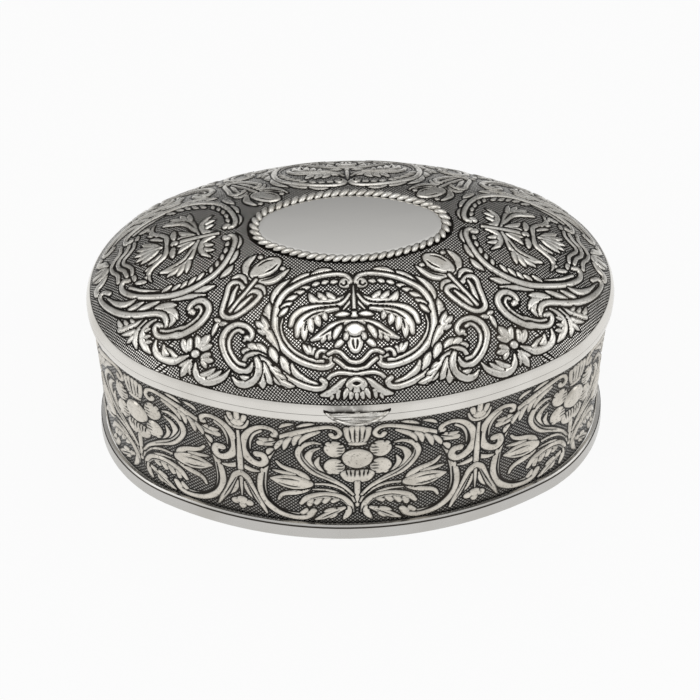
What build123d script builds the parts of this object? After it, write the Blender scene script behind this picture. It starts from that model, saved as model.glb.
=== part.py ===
from build123d import *
import math
import os

# Oval box with a hinged domed lid. The origin is on the ground, below the
# middle of the oval. +X runs along the long side and the lid opens from -Y.

# Overall form
box_length = 150.0
box_width = 100.0
body_height = 51.0
lid_rise = 22.9
lid_seam = 0.25
oval_fullness_share = 1.22
solder_seam = 0.05
overrun = 2.0

# Side wall, a struck strip that is drawn in at its waist
wall_thickness = 1.2
wall_foot_set_in = 0.3
wall_waist_set_in = 1.25
wall_waist_height = 30.0
wall_top_set_in = 0.9

# Half-round moulding round the top of the wall
bead_height = 2.8
bead_flat = 0.35

# Foot moulding round the bottom of the wall
foot_height = 5.0
foot_spread = 1.3
foot_top_spread = 0.85
foot_edge_round = 0.6
foot_top_land = 0.5

# Bottom sheet and the felt below it
base_thickness = 1.0
base_recess = 2.4
felt_thickness = 1.2
felt_set_in = 3.0

# Domed lid, struck from sheet with its rim turned down
lid_thickness = 1.2
dome_crown_power = 1.5
dome_shoulder_power = 0.62
dome_rings = 9
plate_length = 50.2
plate_width = 24.4

# Raised rope border round the plain plate of the lid
rope_radius = 1.15
rope_gap = 0.15
rope_sunk = 0.25

# Half-moon thumb catch at the front of the lid rim
catch_length = 19.6
catch_reach = 4.4
catch_thickness = 1.3
catch_height = 2.1
catch_droop_angle = 14.0
catch_edge_round = 0.4
catch_root = 2.2

# Hinge at the back, with leaves soldered inside the wall and the lid
hinge_set_out = 1.3
knuckle_radius = 1.6
pin_radius = 0.8
pin_running_gap = 0.05
knuckle_length = 4.6
knuckle_gap = 0.25
knuckle_count = 5
pin_head_length = 0.5
pin_head_radius = 1.15
leaf_thickness = 0.7
body_leaf_height = 6.0
lid_leaf_height = 3.2
hinge_clearance = 0.4

# Velvet-covered linings
lining_clearance = 0.3
wall_lining_thickness = 1.5
wall_lining_drop = 0.8
floor_pad_thickness = 4.2
floor_pad_crown = 0.9
floor_pad_edge_round = 1.0
lid_lining_thickness = 2.0
lid_lining_lift = 1.2

half_length = box_length / 2
half_width = box_width / 2
lid_bottom = body_height + lid_seam
hinge_y = half_width + hinge_set_out
hinge_z = body_height + lid_seam / 2
hinge_width = knuckle_count * knuckle_length + (knuckle_count - 1) * knuckle_gap
base_top = base_recess + felt_thickness + base_thickness
lining_set_in = wall_waist_set_in + wall_thickness + lining_clearance


def oval_radii(long_half, short_half):
    """Radii of the end arcs and of the side arcs of an oval."""
    end_radius = oval_fullness_share * short_half**2 / long_half
    spare = long_half**2 + short_half**2 - 2 * long_half * end_radius
    return end_radius, spare / (2 * (short_half - end_radius))


def side_sag(half_chord, set_in):
    """How far the long side falls back from its middle over half a chord."""
    radius = oval_radii(half_length, half_width)[1] - set_in
    return radius - math.sqrt(radius**2 - half_chord**2)


def oval_edges(long_half, short_half):
    """Arcs of an oval, counter-clockwise from its right-hand end."""
    end_radius, side_radius = oval_radii(long_half, short_half)
    end_centre = long_half - end_radius
    side_centre = side_radius - short_half
    turn = math.degrees(math.atan2(side_centre, end_centre))
    return [
        CenterArc((end_centre, 0), end_radius, 0, turn),
        CenterArc((0, -side_centre), side_radius, turn, 180 - 2 * turn),
        CenterArc((-end_centre, 0), end_radius, 180 - turn, 2 * turn),
        CenterArc((0, side_centre), side_radius, 180 + turn, 180 - 2 * turn),
        CenterArc((end_centre, 0), end_radius, -turn, turn),
    ]


def oval_wire(long_half, short_half, height):
    """Closed oval at a height."""
    return Pos(0, 0, height) * Wire(oval_edges(long_half, short_half))


def oval_slab(set_in, bottom, thickness):
    """Flat oval sheet whose edge stands a set distance inside the box outline."""
    outline = oval_wire(half_length - set_in, half_width - set_in, bottom)
    return extrude(Face(outline), amount=thickness, dir=(0, 0, 1))


def swept_round(section):
    """A section, drawn beside the outline as (outward distance, height), taken round the oval."""
    placed = Plane.XZ * Pos(half_length, 0) * section
    return sweep(placed, path=oval_wire(half_length, half_width, 0))


def wall_edge(extra_set_in):
    """Curved line of the wall from bottom to top."""
    return ThreePointArc(
        (-wall_foot_set_in - extra_set_in, 0),
        (-wall_waist_set_in - extra_set_in, wall_waist_height),
        (-wall_top_set_in - extra_set_in, body_height),
    )


def section_of(*lines):
    """Closed flat section from its bounding lines."""
    return make_face(Curve() + list(lines))


def wall_section():
    """Thin strip between the outer line of the wall and the same line set in."""
    outer = wall_edge(0)
    inner = wall_edge(wall_thickness)
    return section_of(outer, Line(outer @ 1, inner @ 1), inner, Line(inner @ 0, outer @ 0))


def behind_wall_edge(set_out):
    """Everything inward of the wall's outer line, used to fit the mouldings to it."""
    outer = wall_edge(-set_out)
    depth = half_width / 2
    low = (-depth, 0)
    high = (-depth, body_height)
    return section_of(outer, Line(outer @ 1, high), Line(high, low), Line(low, outer @ 0))


def bead_section():
    """Half-round moulding, flush with the top of the wall."""
    inner = -2 * wall_top_set_in
    bottom = body_height - bead_height
    lower = (-wall_top_set_in, bottom)
    low_flat = (-bead_flat, bottom)
    high_flat = (-bead_flat, body_height)
    raw = section_of(
        Line((inner, bottom), lower),
        Line(lower, low_flat),
        ThreePointArc(low_flat, (0, body_height - bead_height / 2), high_flat),
        Line(high_flat, (inner, body_height)),
        Line((inner, body_height), (inner, bottom)),
    )
    return raw - behind_wall_edge(solder_seam)


def foot_section():
    """Polished foot that spreads a little towards the ground."""
    inner = -2 * wall_foot_set_in
    land = -wall_foot_set_in + foot_top_land
    points = [
        (inner, 0),
        (foot_spread, 0),
        (foot_spread, foot_edge_round),
        (foot_top_spread, foot_height - foot_edge_round),
        (land, foot_height),
        (inner - wall_waist_set_in, foot_height),
        (inner - wall_waist_set_in, 0),
    ]
    raw = make_face(Polyline(*points, close=True))
    outer_corners = raw.vertices().filter_by_position(Axis.X, 0, foot_spread + foot_edge_round)
    raw = fillet(outer_corners.sort_by(Axis.Y)[0:1], foot_edge_round / 2)
    return raw - behind_wall_edge(solder_seam)


def knuckle_box(clearance):
    """Space that the hinge barrel needs."""
    reach = knuckle_radius + clearance
    return Pos(0, hinge_y, hinge_z) * Box(hinge_width + 2 * clearance, 2 * reach, 2 * reach)


def tongue_box(side, clearance):
    """Space of the flat tongues that pass over the wall (side -1) or under the lid rim (side 1)."""
    leaf_y = leaf_face()
    depth = hinge_y - leaf_y + clearance
    seat = hinge_z + side * lid_seam / 2
    height = leaf_thickness + clearance
    middle = seat + side * height / 2
    return Pos(0, leaf_y - clearance + depth / 2, middle) * Box(hinge_width + 2 * clearance, depth, height)


def leaf_face():
    """Y of the inner face of the hinge leaves, flat across the curved back."""
    set_in = wall_waist_set_in + wall_thickness
    sag = side_sag(hinge_width / 2, set_in)
    return half_width - set_in - sag - solder_seam - leaf_thickness


def body_wall():
    """Oval side wall, notched at the back for the tongues of the hinge."""
    return swept_round(wall_section()) - tongue_box(-1, solder_seam)


def body_rim_moulding():
    """Polished bead round the mouth, cut away for the hinge barrel."""
    ring = swept_round(bead_section())
    return ring - knuckle_box(hinge_clearance) - tongue_box(-1, solder_seam)


def foot_moulding():
    """Polished foot round the base."""
    return swept_round(foot_section())


def base_plate():
    """Bottom sheet, soldered inside the wall just above the foot's edge."""
    bottom = base_recess + felt_thickness
    blank = oval_slab(wall_foot_set_in, bottom, base_thickness)
    return blank - swept_round(wall_section_grown())


def wall_section_grown():
    """The wall's section with the solder seam added inside, and nothing left outside it."""
    inner = wall_edge(wall_thickness + solder_seam)
    top = (overrun, body_height)
    bottom = (overrun, 0)
    return section_of(inner, Line(inner @ 1, top), Line(top, bottom), Line(bottom, inner @ 0))


def base_felt():
    """Felt glued below the bottom sheet, clear of the ground."""
    return oval_slab(felt_set_in, base_recess, felt_thickness)


def dome(set_in, drop, bottom):
    """Closed dome that stands a set distance inside the lid's outer skin."""
    rise = lid_bottom + lid_rise - drop - bottom
    rings = []
    for step in range(dome_rings + 1):
        inward_share = (step / dome_rings) ** 2
        up_share = (1 - (1 - inward_share) ** dome_crown_power) ** dome_shoulder_power
        long_half = half_length - set_in - inward_share * (half_length - plate_length / 2)
        short_half = half_width - set_in - inward_share * (half_width - plate_width / 2)
        rings.append(oval_wire(long_half, short_half, bottom + rise * up_share))
    return Solid.make_loft(rings)


def rope_border():
    """Raised border round the plain plate, as a plain half-round bead."""
    set_out = rope_radius + rope_gap
    path = oval_wire(plate_length / 2 + set_out, plate_width / 2 + set_out, lid_bottom + lid_rise - rope_sunk)
    start = Plane.XZ * Pos(plate_length / 2 + set_out, lid_bottom + lid_rise - rope_sunk)
    return sweep(start * Circle(rope_radius), path=path)


def lid_skin():
    """Outer form of the lid with its rope border, still solid inside."""
    return dome(0, 0, lid_bottom) + rope_border()


def lid_shell():
    """Domed lid, open below and cut away at the back for the hinge."""
    skirt = oval_slab(lid_thickness, lid_bottom - overrun, overrun)
    hollow = dome(lid_thickness, lid_thickness, lid_bottom) + skirt
    return lid_skin() - hollow - knuckle_box(hinge_clearance) - tongue_box(1, solder_seam)


def thumb_catch():
    """Half-moon lip on the front of the lid rim, drooping a little."""
    half_chord = catch_length / 2
    lens = make_face(
        Curve()
        + ThreePointArc((-half_chord, 0), (0, -catch_reach), (half_chord, 0))
        + Polyline((half_chord, 0), (half_chord, catch_root), (-half_chord, catch_root), (-half_chord, 0))
    )
    lip = extrude(lens, amount=catch_thickness)
    lip = fillet(lip.edges().filter_by(GeomType.CIRCLE), catch_edge_round)
    root_y = side_sag(half_chord, 0) - half_width
    placed = Pos(0, root_y, lid_bottom + catch_height) * Rot(catch_droop_angle, 0, 0)
    return placed * Pos(0, 0, -catch_thickness) * lip - dome(-solder_seam, 0, lid_bottom)


def knuckle_centres(parity):
    """X of every knuckle on one leaf: parity 0 on the body, 1 on the lid."""
    pitch = knuckle_length + knuckle_gap
    first = -(knuckle_count - 1) / 2 * pitch
    return [first + pitch * index for index in range(parity, knuckle_count, 2)]


def hinge_leaf(side, parity, leaf_height):
    """Flat leaf inside the wall (side -1) or the lid (side 1), its tongues and knuckles."""
    leaf_y = leaf_face()
    seat = hinge_z + side * lid_seam / 2
    plate_middle = Pos(0, leaf_y + leaf_thickness / 2, seat + side * leaf_height / 2)
    leaf = plate_middle * Box(hinge_width, leaf_thickness, leaf_height)
    tongue_depth = hinge_y - leaf_y
    for centre in knuckle_centres(parity):
        tongue_middle = Pos(centre, leaf_y + tongue_depth / 2, seat + side * leaf_thickness / 2)
        leaf += tongue_middle * Box(knuckle_length, tongue_depth, leaf_thickness)
        leaf += Pos(centre, hinge_y, hinge_z) * Rot(0, 90, 0) * Cylinder(knuckle_radius, knuckle_length)
    bore = Cylinder(pin_radius + pin_running_gap, hinge_width + 2 * overrun)
    return leaf - Pos(0, hinge_y, hinge_z) * Rot(0, 90, 0) * bore


def hinge_pin():
    """Pin through all knuckles, with a small head at each end."""
    shank = Cylinder(pin_radius, hinge_width + 2 * knuckle_gap)
    head_middle = (hinge_width + 2 * knuckle_gap + pin_head_length) / 2
    for end in (-1, 1):
        shank += Pos(0, 0, end * head_middle) * Cylinder(pin_head_radius, pin_head_length)
    return Pos(0, hinge_y, hinge_z) * Rot(0, 90, 0) * shank


def leaf_pocket(side, leaf_height, clearance):
    """Room that a lining leaves for the hinge leaf."""
    leaf_y = leaf_face()
    reach = leaf_height + 2 * clearance
    depth = 2 * overrun + leaf_thickness
    middle = Pos(0, leaf_y - clearance + depth / 2, hinge_z + side * reach / 2)
    return middle * Box(hinge_width + 2 * clearance, depth, reach)


def wall_lining():
    """Velvet-covered strip that stands inside the wall."""
    outer = -lining_set_in
    bottom = base_top + lining_clearance
    top = body_height - wall_lining_drop
    strip = Pos(outer - wall_lining_thickness / 2, (bottom + top) / 2)
    strip = strip * Rectangle(wall_lining_thickness, top - bottom)
    edge = strip.vertices().group_by(Axis.Y)[-1]
    strip = fillet(edge, wall_lining_thickness / 3)
    return swept_round(strip) - leaf_pocket(-1, body_leaf_height, lining_clearance)


def floor_pad():
    """Low velvet pad on the bottom sheet, crowned towards its middle."""
    set_in = lining_set_in + wall_lining_thickness + lining_clearance
    bottom = base_top + lining_clearance
    short_half = half_width - set_in
    crown_radius = (short_half**2 + floor_pad_crown**2) / (2 * floor_pad_crown)
    ball = Pos(0, 0, bottom + floor_pad_thickness - crown_radius) * Sphere(crown_radius)
    pad = oval_slab(set_in, bottom, floor_pad_thickness) & ball
    upper_edges = pad.edges().filter_by(lambda edge: edge.center().Z > bottom + floor_pad_edge_round)
    rim_edges = upper_edges.filter_by(lambda edge: edge.length > floor_pad_thickness)
    return fillet(rim_edges, floor_pad_edge_round)


def lid_lining():
    """Padded velvet dome inside the lid."""
    outer_set_in = lid_thickness + lining_clearance
    inner_set_in = outer_set_in + lid_lining_thickness
    bottom = lid_bottom + lid_lining_lift
    outer = dome(outer_set_in, outer_set_in, lid_bottom)
    inner = dome(inner_set_in, inner_set_in, lid_bottom)
    below = oval_slab(0, lid_bottom - overrun, overrun + lid_lining_lift)
    return outer - inner - below - leaf_pocket(1, lid_leaf_height, lining_clearance)


def build():
    """Every piece by its node name."""
    return {
        "body_wall": body_wall(),
        "body_rim_moulding": body_rim_moulding(),
        "foot_moulding": foot_moulding(),
        "base_plate": base_plate(),
        "base_felt": base_felt(),
        "wall_lining": wall_lining(),
        "floor_pad": floor_pad(),
        "hinge_body_leaf": hinge_leaf(-1, 0, body_leaf_height),
        "hinge_pin": hinge_pin(),
        "lid_shell": lid_shell(),
        "thumb_catch": thumb_catch(),
        "lid_lining": lid_lining(),
        "hinge_lid_leaf": hinge_leaf(1, 1, lid_leaf_height),
    }


os.makedirs("parts", exist_ok=True)
for name, solid in build().items():
    export_step(solid, f"parts/{name}.step")
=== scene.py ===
import math

import bpy
import numpy as np
from bpy.props import FloatProperty, FloatVectorProperty, IntProperty, PointerProperty
from mathutils import Matrix, Vector


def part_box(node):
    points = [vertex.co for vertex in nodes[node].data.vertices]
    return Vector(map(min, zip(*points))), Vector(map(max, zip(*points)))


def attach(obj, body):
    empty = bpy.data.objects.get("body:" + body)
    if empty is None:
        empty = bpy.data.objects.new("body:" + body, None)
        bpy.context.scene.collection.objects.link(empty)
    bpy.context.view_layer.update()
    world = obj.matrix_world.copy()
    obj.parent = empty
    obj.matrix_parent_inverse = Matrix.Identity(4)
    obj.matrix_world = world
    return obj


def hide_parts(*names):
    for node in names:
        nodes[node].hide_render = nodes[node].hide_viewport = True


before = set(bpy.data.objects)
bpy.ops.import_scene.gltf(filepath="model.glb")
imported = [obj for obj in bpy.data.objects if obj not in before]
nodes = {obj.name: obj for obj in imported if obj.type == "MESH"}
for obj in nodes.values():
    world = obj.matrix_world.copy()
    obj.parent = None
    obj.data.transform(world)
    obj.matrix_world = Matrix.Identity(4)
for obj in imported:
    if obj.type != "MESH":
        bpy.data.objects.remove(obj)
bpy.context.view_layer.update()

bl_info = {
    "name": "Oval embossed box",
    "version": (1, 0, 0),
    "blender": (4, 5, 0),
    "location": "3D View > Sidebar > Oval box",
    "description": "Silver look, relief and velvet linings of an oval hinged box",
    "category": "Object",
}

MM = 0.001

# Form of the box, in millimetres, read from the solids where they give it
LID_LOW, LID_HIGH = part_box("lid_shell")
HALF_LENGTH = LID_HIGH.x / MM
HALF_WIDTH = -LID_LOW.y / MM
LID_BOTTOM = LID_LOW.z / MM
ROPE_RADIUS = 1.15
ROPE_GAP = 0.15
ROPE_SUNK = 0.25
LID_TOP = LID_HIGH.z / MM - ROPE_RADIUS + ROPE_SUNK
LID_RISE = LID_TOP - LID_BOTTOM
SHEET = 1.2
OVAL_FULLNESS = 1.22
CROWN_POWER = 1.5
SHOULDER_POWER = 0.62
PLATE_LENGTH = 50.2
PLATE_WIDTH = 24.4
WALL_LINE = ((-0.3, 0.0), (-1.25, 30.0), (-0.9, 51.0))
FOOT_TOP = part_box("foot_moulding")[1].z / MM
BEAD_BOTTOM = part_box("body_rim_moulding")[0].z / MM
QUARTER = math.pi / 2
TINY = 1e-6


# Oval, dome and wall

def oval_radii(long_half, short_half):
    """Radii of the end arcs and of the side arcs of an oval."""
    end = OVAL_FULLNESS * short_half**2 / long_half
    spare = long_half**2 + short_half**2 - 2 * long_half * end
    return end, spare / (2 * (short_half - end))


def oval_arcs(long_half, short_half):
    """Radii of the end arcs and of the side arcs, and the turn of the normal where they meet."""
    end, side = oval_radii(long_half, short_half)
    return end, side, math.atan2(side - short_half, long_half - end)


def oval_point(turn, long_half, short_half):
    """Points of an oval whose outward normals have the given turns."""
    end, side = oval_radii(long_half, short_half)
    end_centre, side_centre = long_half - end, side - short_half
    along, across = np.cos(turn), np.sin(turn)
    at_end = np.arctan2(abs(across), abs(along)) < np.arctan2(side_centre, end_centre)
    x = np.where(at_end, end_centre + end * abs(along), side * abs(along))
    y = np.where(at_end, end * abs(across), side * abs(across) - side_centre)
    return x * np.sign(along), y * np.sign(across)


def even_turns(share, long_half, short_half):
    """Turn of the normal at a share of a quarter of the oval's length, from the end to the side."""
    end, side, switch = oval_arcs(long_half, short_half)
    end_run, side_run = end * switch, side * (QUARTER - switch)
    run = share * (end_run + side_run)
    return np.where(run < end_run, run / end, switch + (run - end_run) / side)


def dome_ring(inward, set_in=0.0, drop=0.0):
    """Half sizes and height of a ring of the dome, from its rim at 0 to the plate at 1."""
    long_half = HALF_LENGTH - set_in - inward * (HALF_LENGTH - PLATE_LENGTH / 2)
    short_half = HALF_WIDTH - set_in - inward * (HALF_WIDTH - PLATE_WIDTH / 2)
    up = (1 - (1 - inward) ** CROWN_POWER) ** SHOULDER_POWER
    return long_half, short_half, LID_BOTTOM + (LID_RISE - drop) * up


def chart_table():
    """Inward shares, and the half sizes that their rings have when the dome is laid out flat."""
    inward = (np.arange(CHART_STEPS + 1) / CHART_STEPS) ** 2
    long_half, short_half, height = dome_ring(inward)
    climb = np.diff(height)
    long_run = np.concatenate([[0], np.cumsum(np.hypot(np.diff(long_half), climb))])
    short_run = np.concatenate([[0], np.cumsum(np.hypot(np.diff(short_half), climb))])
    return inward, PLATE_LENGTH / 2 + long_run[-1] - long_run, PLATE_WIDTH / 2 + short_run[-1] - short_run


CHART_STEPS = 400


def wall_set_out(height):
    """Outline of the wall beside the oval, an arc through three points."""
    points = np.array(WALL_LINE)
    rows = np.column_stack([2 * points, np.ones(3)])
    cx, cy, rest = np.linalg.solve(rows, (points**2).sum(1))
    radius = math.sqrt(rest + cx**2 + cy**2)
    return cx - np.sqrt(radius**2 - (height - cy) ** 2)


# Strokes of the ornament, in millimetres on the laid-out surface

BAND_SHARES = (1.0, 1.0)
TAPER_SHARES = (1.0, 0.85, 0.2)
RISE_SHARES = (0.3, 0.9, 1.0)
BLADE_SHARES = (0.5, 0.95, 1.0, 0.8, 0.2)
LANCE_SHARES = (0.15, 0.8, 1.0, 0.8, 0.15)
CLUB_SHARES = (0.4, 0.7, 1.0, 0.9)
SCROLL_SHARES = (0.8, 0.75, 0.9, 1.0, 1.0, 0.9, 0.85)


def stroke(width, shares, *points):
    """A stroke through points, with shares of its full width at even steps along it."""
    return width, shares, points


def band(width, *points):
    """Stroke of one width with round ends."""
    return stroke(width, BAND_SHARES, *points)


def taper(width, *points):
    """Stroke that thins towards its end."""
    return stroke(width, TAPER_SHARES, *points)


def rise(width, *points):
    """Stroke that widens towards its end."""
    return stroke(width, RISE_SHARES, *points)


def blade(width, *points):
    """Leaf blade with a pointed tip."""
    return stroke(width, BLADE_SHARES, *points)


def lance(width, *points):
    """Leaf that is pointed at both ends."""
    return stroke(width, LANCE_SHARES, *points)


def club(width, *points):
    """Lobe that is fullest near its end."""
    return stroke(width, CLUB_SHARES, *points)


def scroll(width, *points):
    """Band of a scroll, fullest in its middle."""
    return stroke(width, SCROLL_SHARES, *points)


def drop(x, y, long_size, short_size, degrees=0):
    """Oval button or petal about a point."""
    long_size = max(long_size, 1.01 * short_size)
    spread = (long_size**2 - short_size**2) / 4
    reach = 2 * spread / long_size
    dx, dy = reach * math.cos(math.radians(degrees)), reach * math.sin(math.radians(degrees))
    shares = [math.sqrt(1 - (reach * part) ** 2 / spread) for part in PETAL_PARTS]
    return stroke(short_size, shares, (x - dx, y - dy), (x + dx, y + dy))


PETAL_PARTS = (-1, -0.9, -0.7, -0.4, 0, 0.4, 0.7, 0.9, 1)


def raised(height, *marks):
    """A motif of one or more strokes that stands this high."""
    return height, marks


def chased(*marks):
    """Fine lines cut across the motifs so far."""
    return None, marks


def smooth_line(points):
    """Smooth curve that passes through all the points."""
    points = np.asarray(points, float)
    padded = np.vstack([2 * points[0] - points[1], points, 2 * points[-1] - points[-2]])
    rows = []
    for first, start, end, last in zip(padded, padded[1:], padded[2:], padded[3:]):
        count = max(1, math.ceil(np.hypot(*(end - start)) / LINE_STEP))
        t = (np.arange(count) / count)[:, None]
        slope = (end - first) * t
        bend = (2 * first - 5 * start + 4 * end - last) * t**2
        twist = (3 * start - first - 3 * end + last) * t**3
        rows.append(start + 0.5 * (slope + bend + twist))
    rows.append(points[-1:])
    return np.vstack(rows)


LINE_STEP = 0.28


def stroke_depth(x, y, mark):
    """How far inside the stroke's edge each point lies, negative outside."""
    width, shares, points = mark
    line = smooth_line(points)
    run = np.concatenate([[0], np.cumsum(np.hypot(*np.diff(line, axis=0).T))])
    half = np.interp(run / run[-1], np.linspace(0, 1, len(shares)), shares) * width * FULLNESS / 2
    deepest = np.full(x.shape, -FAR_OUTSIDE)
    for start, end, start_half, end_half in zip(line, line[1:], half, half[1:]):
        dx, dy = end - start
        along = np.clip(((x - start[0]) * dx + (y - start[1]) * dy) / (dx * dx + dy * dy), 0, 1)
        away = np.hypot(x - start[0] - along * dx, y - start[1] - along * dy)
        np.maximum(deepest, start_half + (end_half - start_half) * along - away, out=deepest)
    return deepest


FULLNESS = 1.14
RELIEF_SHARE = 0.85
FAR_OUTSIDE = 9.0


class Relief:
    """Height of the ornament over chart points, and how far inside a motif each point lies."""

    bare_depth = -3.0
    margin = 1.5
    groove = 0.52
    vein = 0.18
    shoulder_share = 0.45
    shoulder_least = 0.28
    shoulder_most = 0.6
    cut_slope = 0.35
    cut_depth = 0.07

    def __init__(self, x, y):
        self.x, self.y = x, y
        self.depth = np.full(x.shape, self.bare_depth)
        self.height = np.zeros(x.shape)

    def union(self, marks, margin):
        """Points near some strokes, their depth inside, and how far one stroke leads over the next."""
        points = np.vstack([np.asarray(mark[2], float) for mark in marks])
        reach = margin + max(mark[0] for mark in marks)
        low, high = points.min(0) - reach, points.max(0) + reach
        near = (self.x > low[0]) & (self.x < high[0]) & (self.y > low[1]) & (self.y < high[1])
        at = np.nonzero(near)
        if not len(at[0]):
            return at, None, None
        depths = np.sort([stroke_depth(self.x[at], self.y[at], mark) for mark in marks], axis=0)
        below = depths[-2] if len(marks) > 1 else depths[-1] - FAR_OUTSIDE
        return at, depths[-1], depths[-1] - below

    def raise_marks(self, marks, height):
        """One motif, raised from the ground, with a chased groove round it that cuts into what lies below."""
        at, inside, crease = self.union(marks, self.margin)
        if inside is None:
            return
        old_depth, old_height = self.depth[at], self.height[at]
        widest = inside.max(initial=0)
        shoulder = np.clip(self.shoulder_share * widest, self.shoulder_least, self.shoulder_most)
        swell = RELIEF_SHARE * height * (1 - (1 - np.clip(inside / shoulder, 0, 1)) ** 2)
        gap = abs(-inside - self.groove / 2) - self.groove / 2
        in_groove = (inside <= 0) & (inside > -self.groove)
        beside = np.where(in_groove & (old_depth > gap), gap, np.maximum(old_depth, inside))
        sink = np.clip(-2 * inside / self.groove - 1, 0, 1)
        crease = crease - self.vein + 0.8 * np.clip(inside - 0.3, 0, None)
        swell *= np.clip(0.5 + crease, 0.3, 1)
        self.depth[at] = np.where(inside > 0, np.minimum(inside, crease), beside)
        self.height[at] = np.where(inside > 0, swell, np.where(in_groove, old_height * sink, old_height))

    def cut(self, marks):
        """Fine chased lines across a motif."""
        at, inside, _ = self.union(marks, self.cut_slope)
        if inside is None:
            return
        self.depth[at] = np.minimum(self.depth[at], -inside - self.cut_depth)
        self.height[at] *= np.clip(0.5 - inside / self.cut_slope, 0, 1)


# Ornament of the lid, for the quarter with x above and y below zero

def front_frame():
    """Large scroll round the front medallion, with its blades and beads."""
    yield raised(0.45, blade(1.5, (22.0, -26.4), (21.2, -23.4), (19.4, -21.1), (17.0, -19.3)))
    yield raised(0.45, blade(1.4, (16.6, -20.6), (13.8, -18.8), (10.8, -17.6)))
    yield raised(0.4, blade(1.4, (10.8, -18.0), (8.2, -17.0), (5.6, -16.9)))
    yield raised(0.45, blade(1.9, (22.2, -30.9), (23.2, -28.6), (22.7, -25.9)),
                       blade(1.5, (22.5, -30.4), (23.3, -29.4), (24.3, -28.3)))
    yield raised(0.6, scroll(1.55, (1.1, -21.6), (0.8, -20.4), (1.6, -19.1), (3.2, -18.5), (5.4, -18.4),
                             (9.0, -18.9), (12.4, -19.9), (15.6, -21.4), (18.3, -23.2), (20.2, -25.8),
                             (21.2, -29.6), (21.4, -33.2), (20.5, -36.9), (18.8, -39.7), (15.6, -42.5),
                             (11.6, -44.3), (8.5, -44.8), (6.7, -44.2), (6.3, -42.9), (7.3, -41.8),
                             (8.3, -42.1)),
                      drop(2.2, -21.3, 3.0, 2.8))
    yield chased(band(0.3, (3.3, -21.6), (2.6, -22.2), (1.8, -21.7), (1.9, -20.8)))
    yield raised(0.35, rise(0.8, (19.2, -30.8), (19.8, -33.1), (19.1, -36.2), (17.0, -39.4),
                            (14.2, -41.5), (11.0, -42.9), (8.9, -43.2)))
    for x, y, turn in ((5.2, -20.8, 175), (7.6, -20.8, 165), (10.0, -21.2, 160)):
        yield raised(0.4, drop(x, y, 2.2, 1.2, turn))
    for start, end in (((14.3, -22.7), (11.9, -22.0)), ((16.3, -24.0), (13.4, -23.2)),
                       ((17.9, -25.5), (15.3, -24.4)), ((19.4, -27.4), (16.8, -26.4)),
                       ((19.9, -29.7), (17.9, -27.9))):
        yield raised(0.4, stroke(1.25, (0.5, 1.0, 1.0, 0.5), start, end))


def front_leaves():
    """Leaves, bud and buttons inside the front medallion."""
    yield raised(0.5, stroke(2.1, (0.35, 0.75, 1.0, 0.9), (0.9, -24.2), (2.8, -26.0), (5.5, -26.7),
                             (9.4, -26.7)),
                      blade(1.8, (8.6, -26.7), (10.7, -26.0), (11.9, -24.0)),
                      blade(1.7, (6.7, -26.6), (8.2, -25.6), (9.5, -23.9)),
                      blade(1.6, (4.6, -26.4), (5.9, -25.4), (7.2, -23.9)))
    yield raised(0.5, stroke(1.5, (0.35, 0.7, 0.9, 1.0, 1.0, 1.0, 0.7), (1.0, -24.6), (3.0, -27.2),
                             (6.1, -28.2), (10.4, -28.2), (13.9, -28.7), (16.3, -30.5), (17.2, -32.8)))
    yield raised(0.55, stroke(2.3, (0.4, 0.6, 0.9, 1.0, 0.85, 0.4), (4.5, -28.9), (7.8, -29.4),
                              (11.0, -30.2), (13.5, -31.5), (15.1, -33.5), (15.6, -35.9)),
                       blade(1.9, (13.2, -31.0), (13.6, -34.0), (13.6, -37.2)),
                       blade(1.9, (11.8, -30.2), (12.0, -32.6), (11.5, -35.2)),
                       blade(1.7, (10.0, -29.6), (10.0, -31.4), (9.5, -33.6)),
                       blade(1.4, (7.9, -29.2), (8.0, -30.5), (7.6, -32.1)))
    yield chased(lance(0.3, (8.0, -29.5), (11.2, -30.4), (13.6, -32.0)),
                 lance(0.3, (13.0, -32.0), (13.4, -34.6)))
    yield raised(0.3, taper(0.7, (0.9, -26.8), (1.9, -28.0), (3.2, -29.5)))
    yield raised(0.45, rise(0.9, (0.0, -22.2), (0.0, -26.0), (0.0, -29.4)))
    yield raised(0.45, drop(0, -30.6, 1.9, 1.8))
    yield raised(0.4, lance(1.4, (1.2, -30.5), (3.2, -30.5), (5.1, -30.8)))
    yield raised(0.5, stroke(2.3, (0.35, 0.65, 1.0, 0.9, 0.35), (0.1, -32.5), (3.0, -32.8), (5.7, -34.0),
                             (8.4, -35.9), (11.6, -37.3)),
                      blade(1.7, (7.0, -34.7), (8.2, -36.2), (8.9, -38.2)),
                      blade(1.6, (5.2, -33.8), (6.4, -35.4), (7.0, -37.6)))
    yield chased(lance(0.3, (2.6, -32.8), (5.8, -34.4), (9.4, -36.5)))
    yield raised(0.45, blade(1.5, (3.7, -33.9), (4.9, -35.4), (5.6, -37.4)))
    yield raised(0.45, lance(1.6, (3.1, -37.6), (4.3, -38.6), (5.4, -39.6)))
    yield raised(0.45, stroke(3.6, (0.9, 1.0, 1.0, 0.75, 0.2), (0, -36.4), (0, -37.6), (0, -38.8),
                              (0, -40.0), (0, -41.1)))
    yield chased(lance(0.3, (0.6, -37.6), (0.6, -38.8), (0.3, -40.2)))
    yield raised(0.6, drop(0, -34.9, 5.0, 3.3), club(1.3, (1.6, -35.3), (2.3, -36.2), (2.5, -37.2)))
    yield raised(0.45, blade(1.3, (12.0, -41.4), (13.0, -40.0), (14.1, -38.3)),
                       blade(1.3, (11.9, -41.4), (12.3, -40.0), (12.6, -38.7)),
                       blade(1.3, (11.8, -41.4), (11.4, -40.4), (10.9, -39.4)))
    yield raised(0.4, band(0.9, (10.5, -41.9), (10.2, -40.9), (9.2, -40.3), (7.8, -40.7)))


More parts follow.
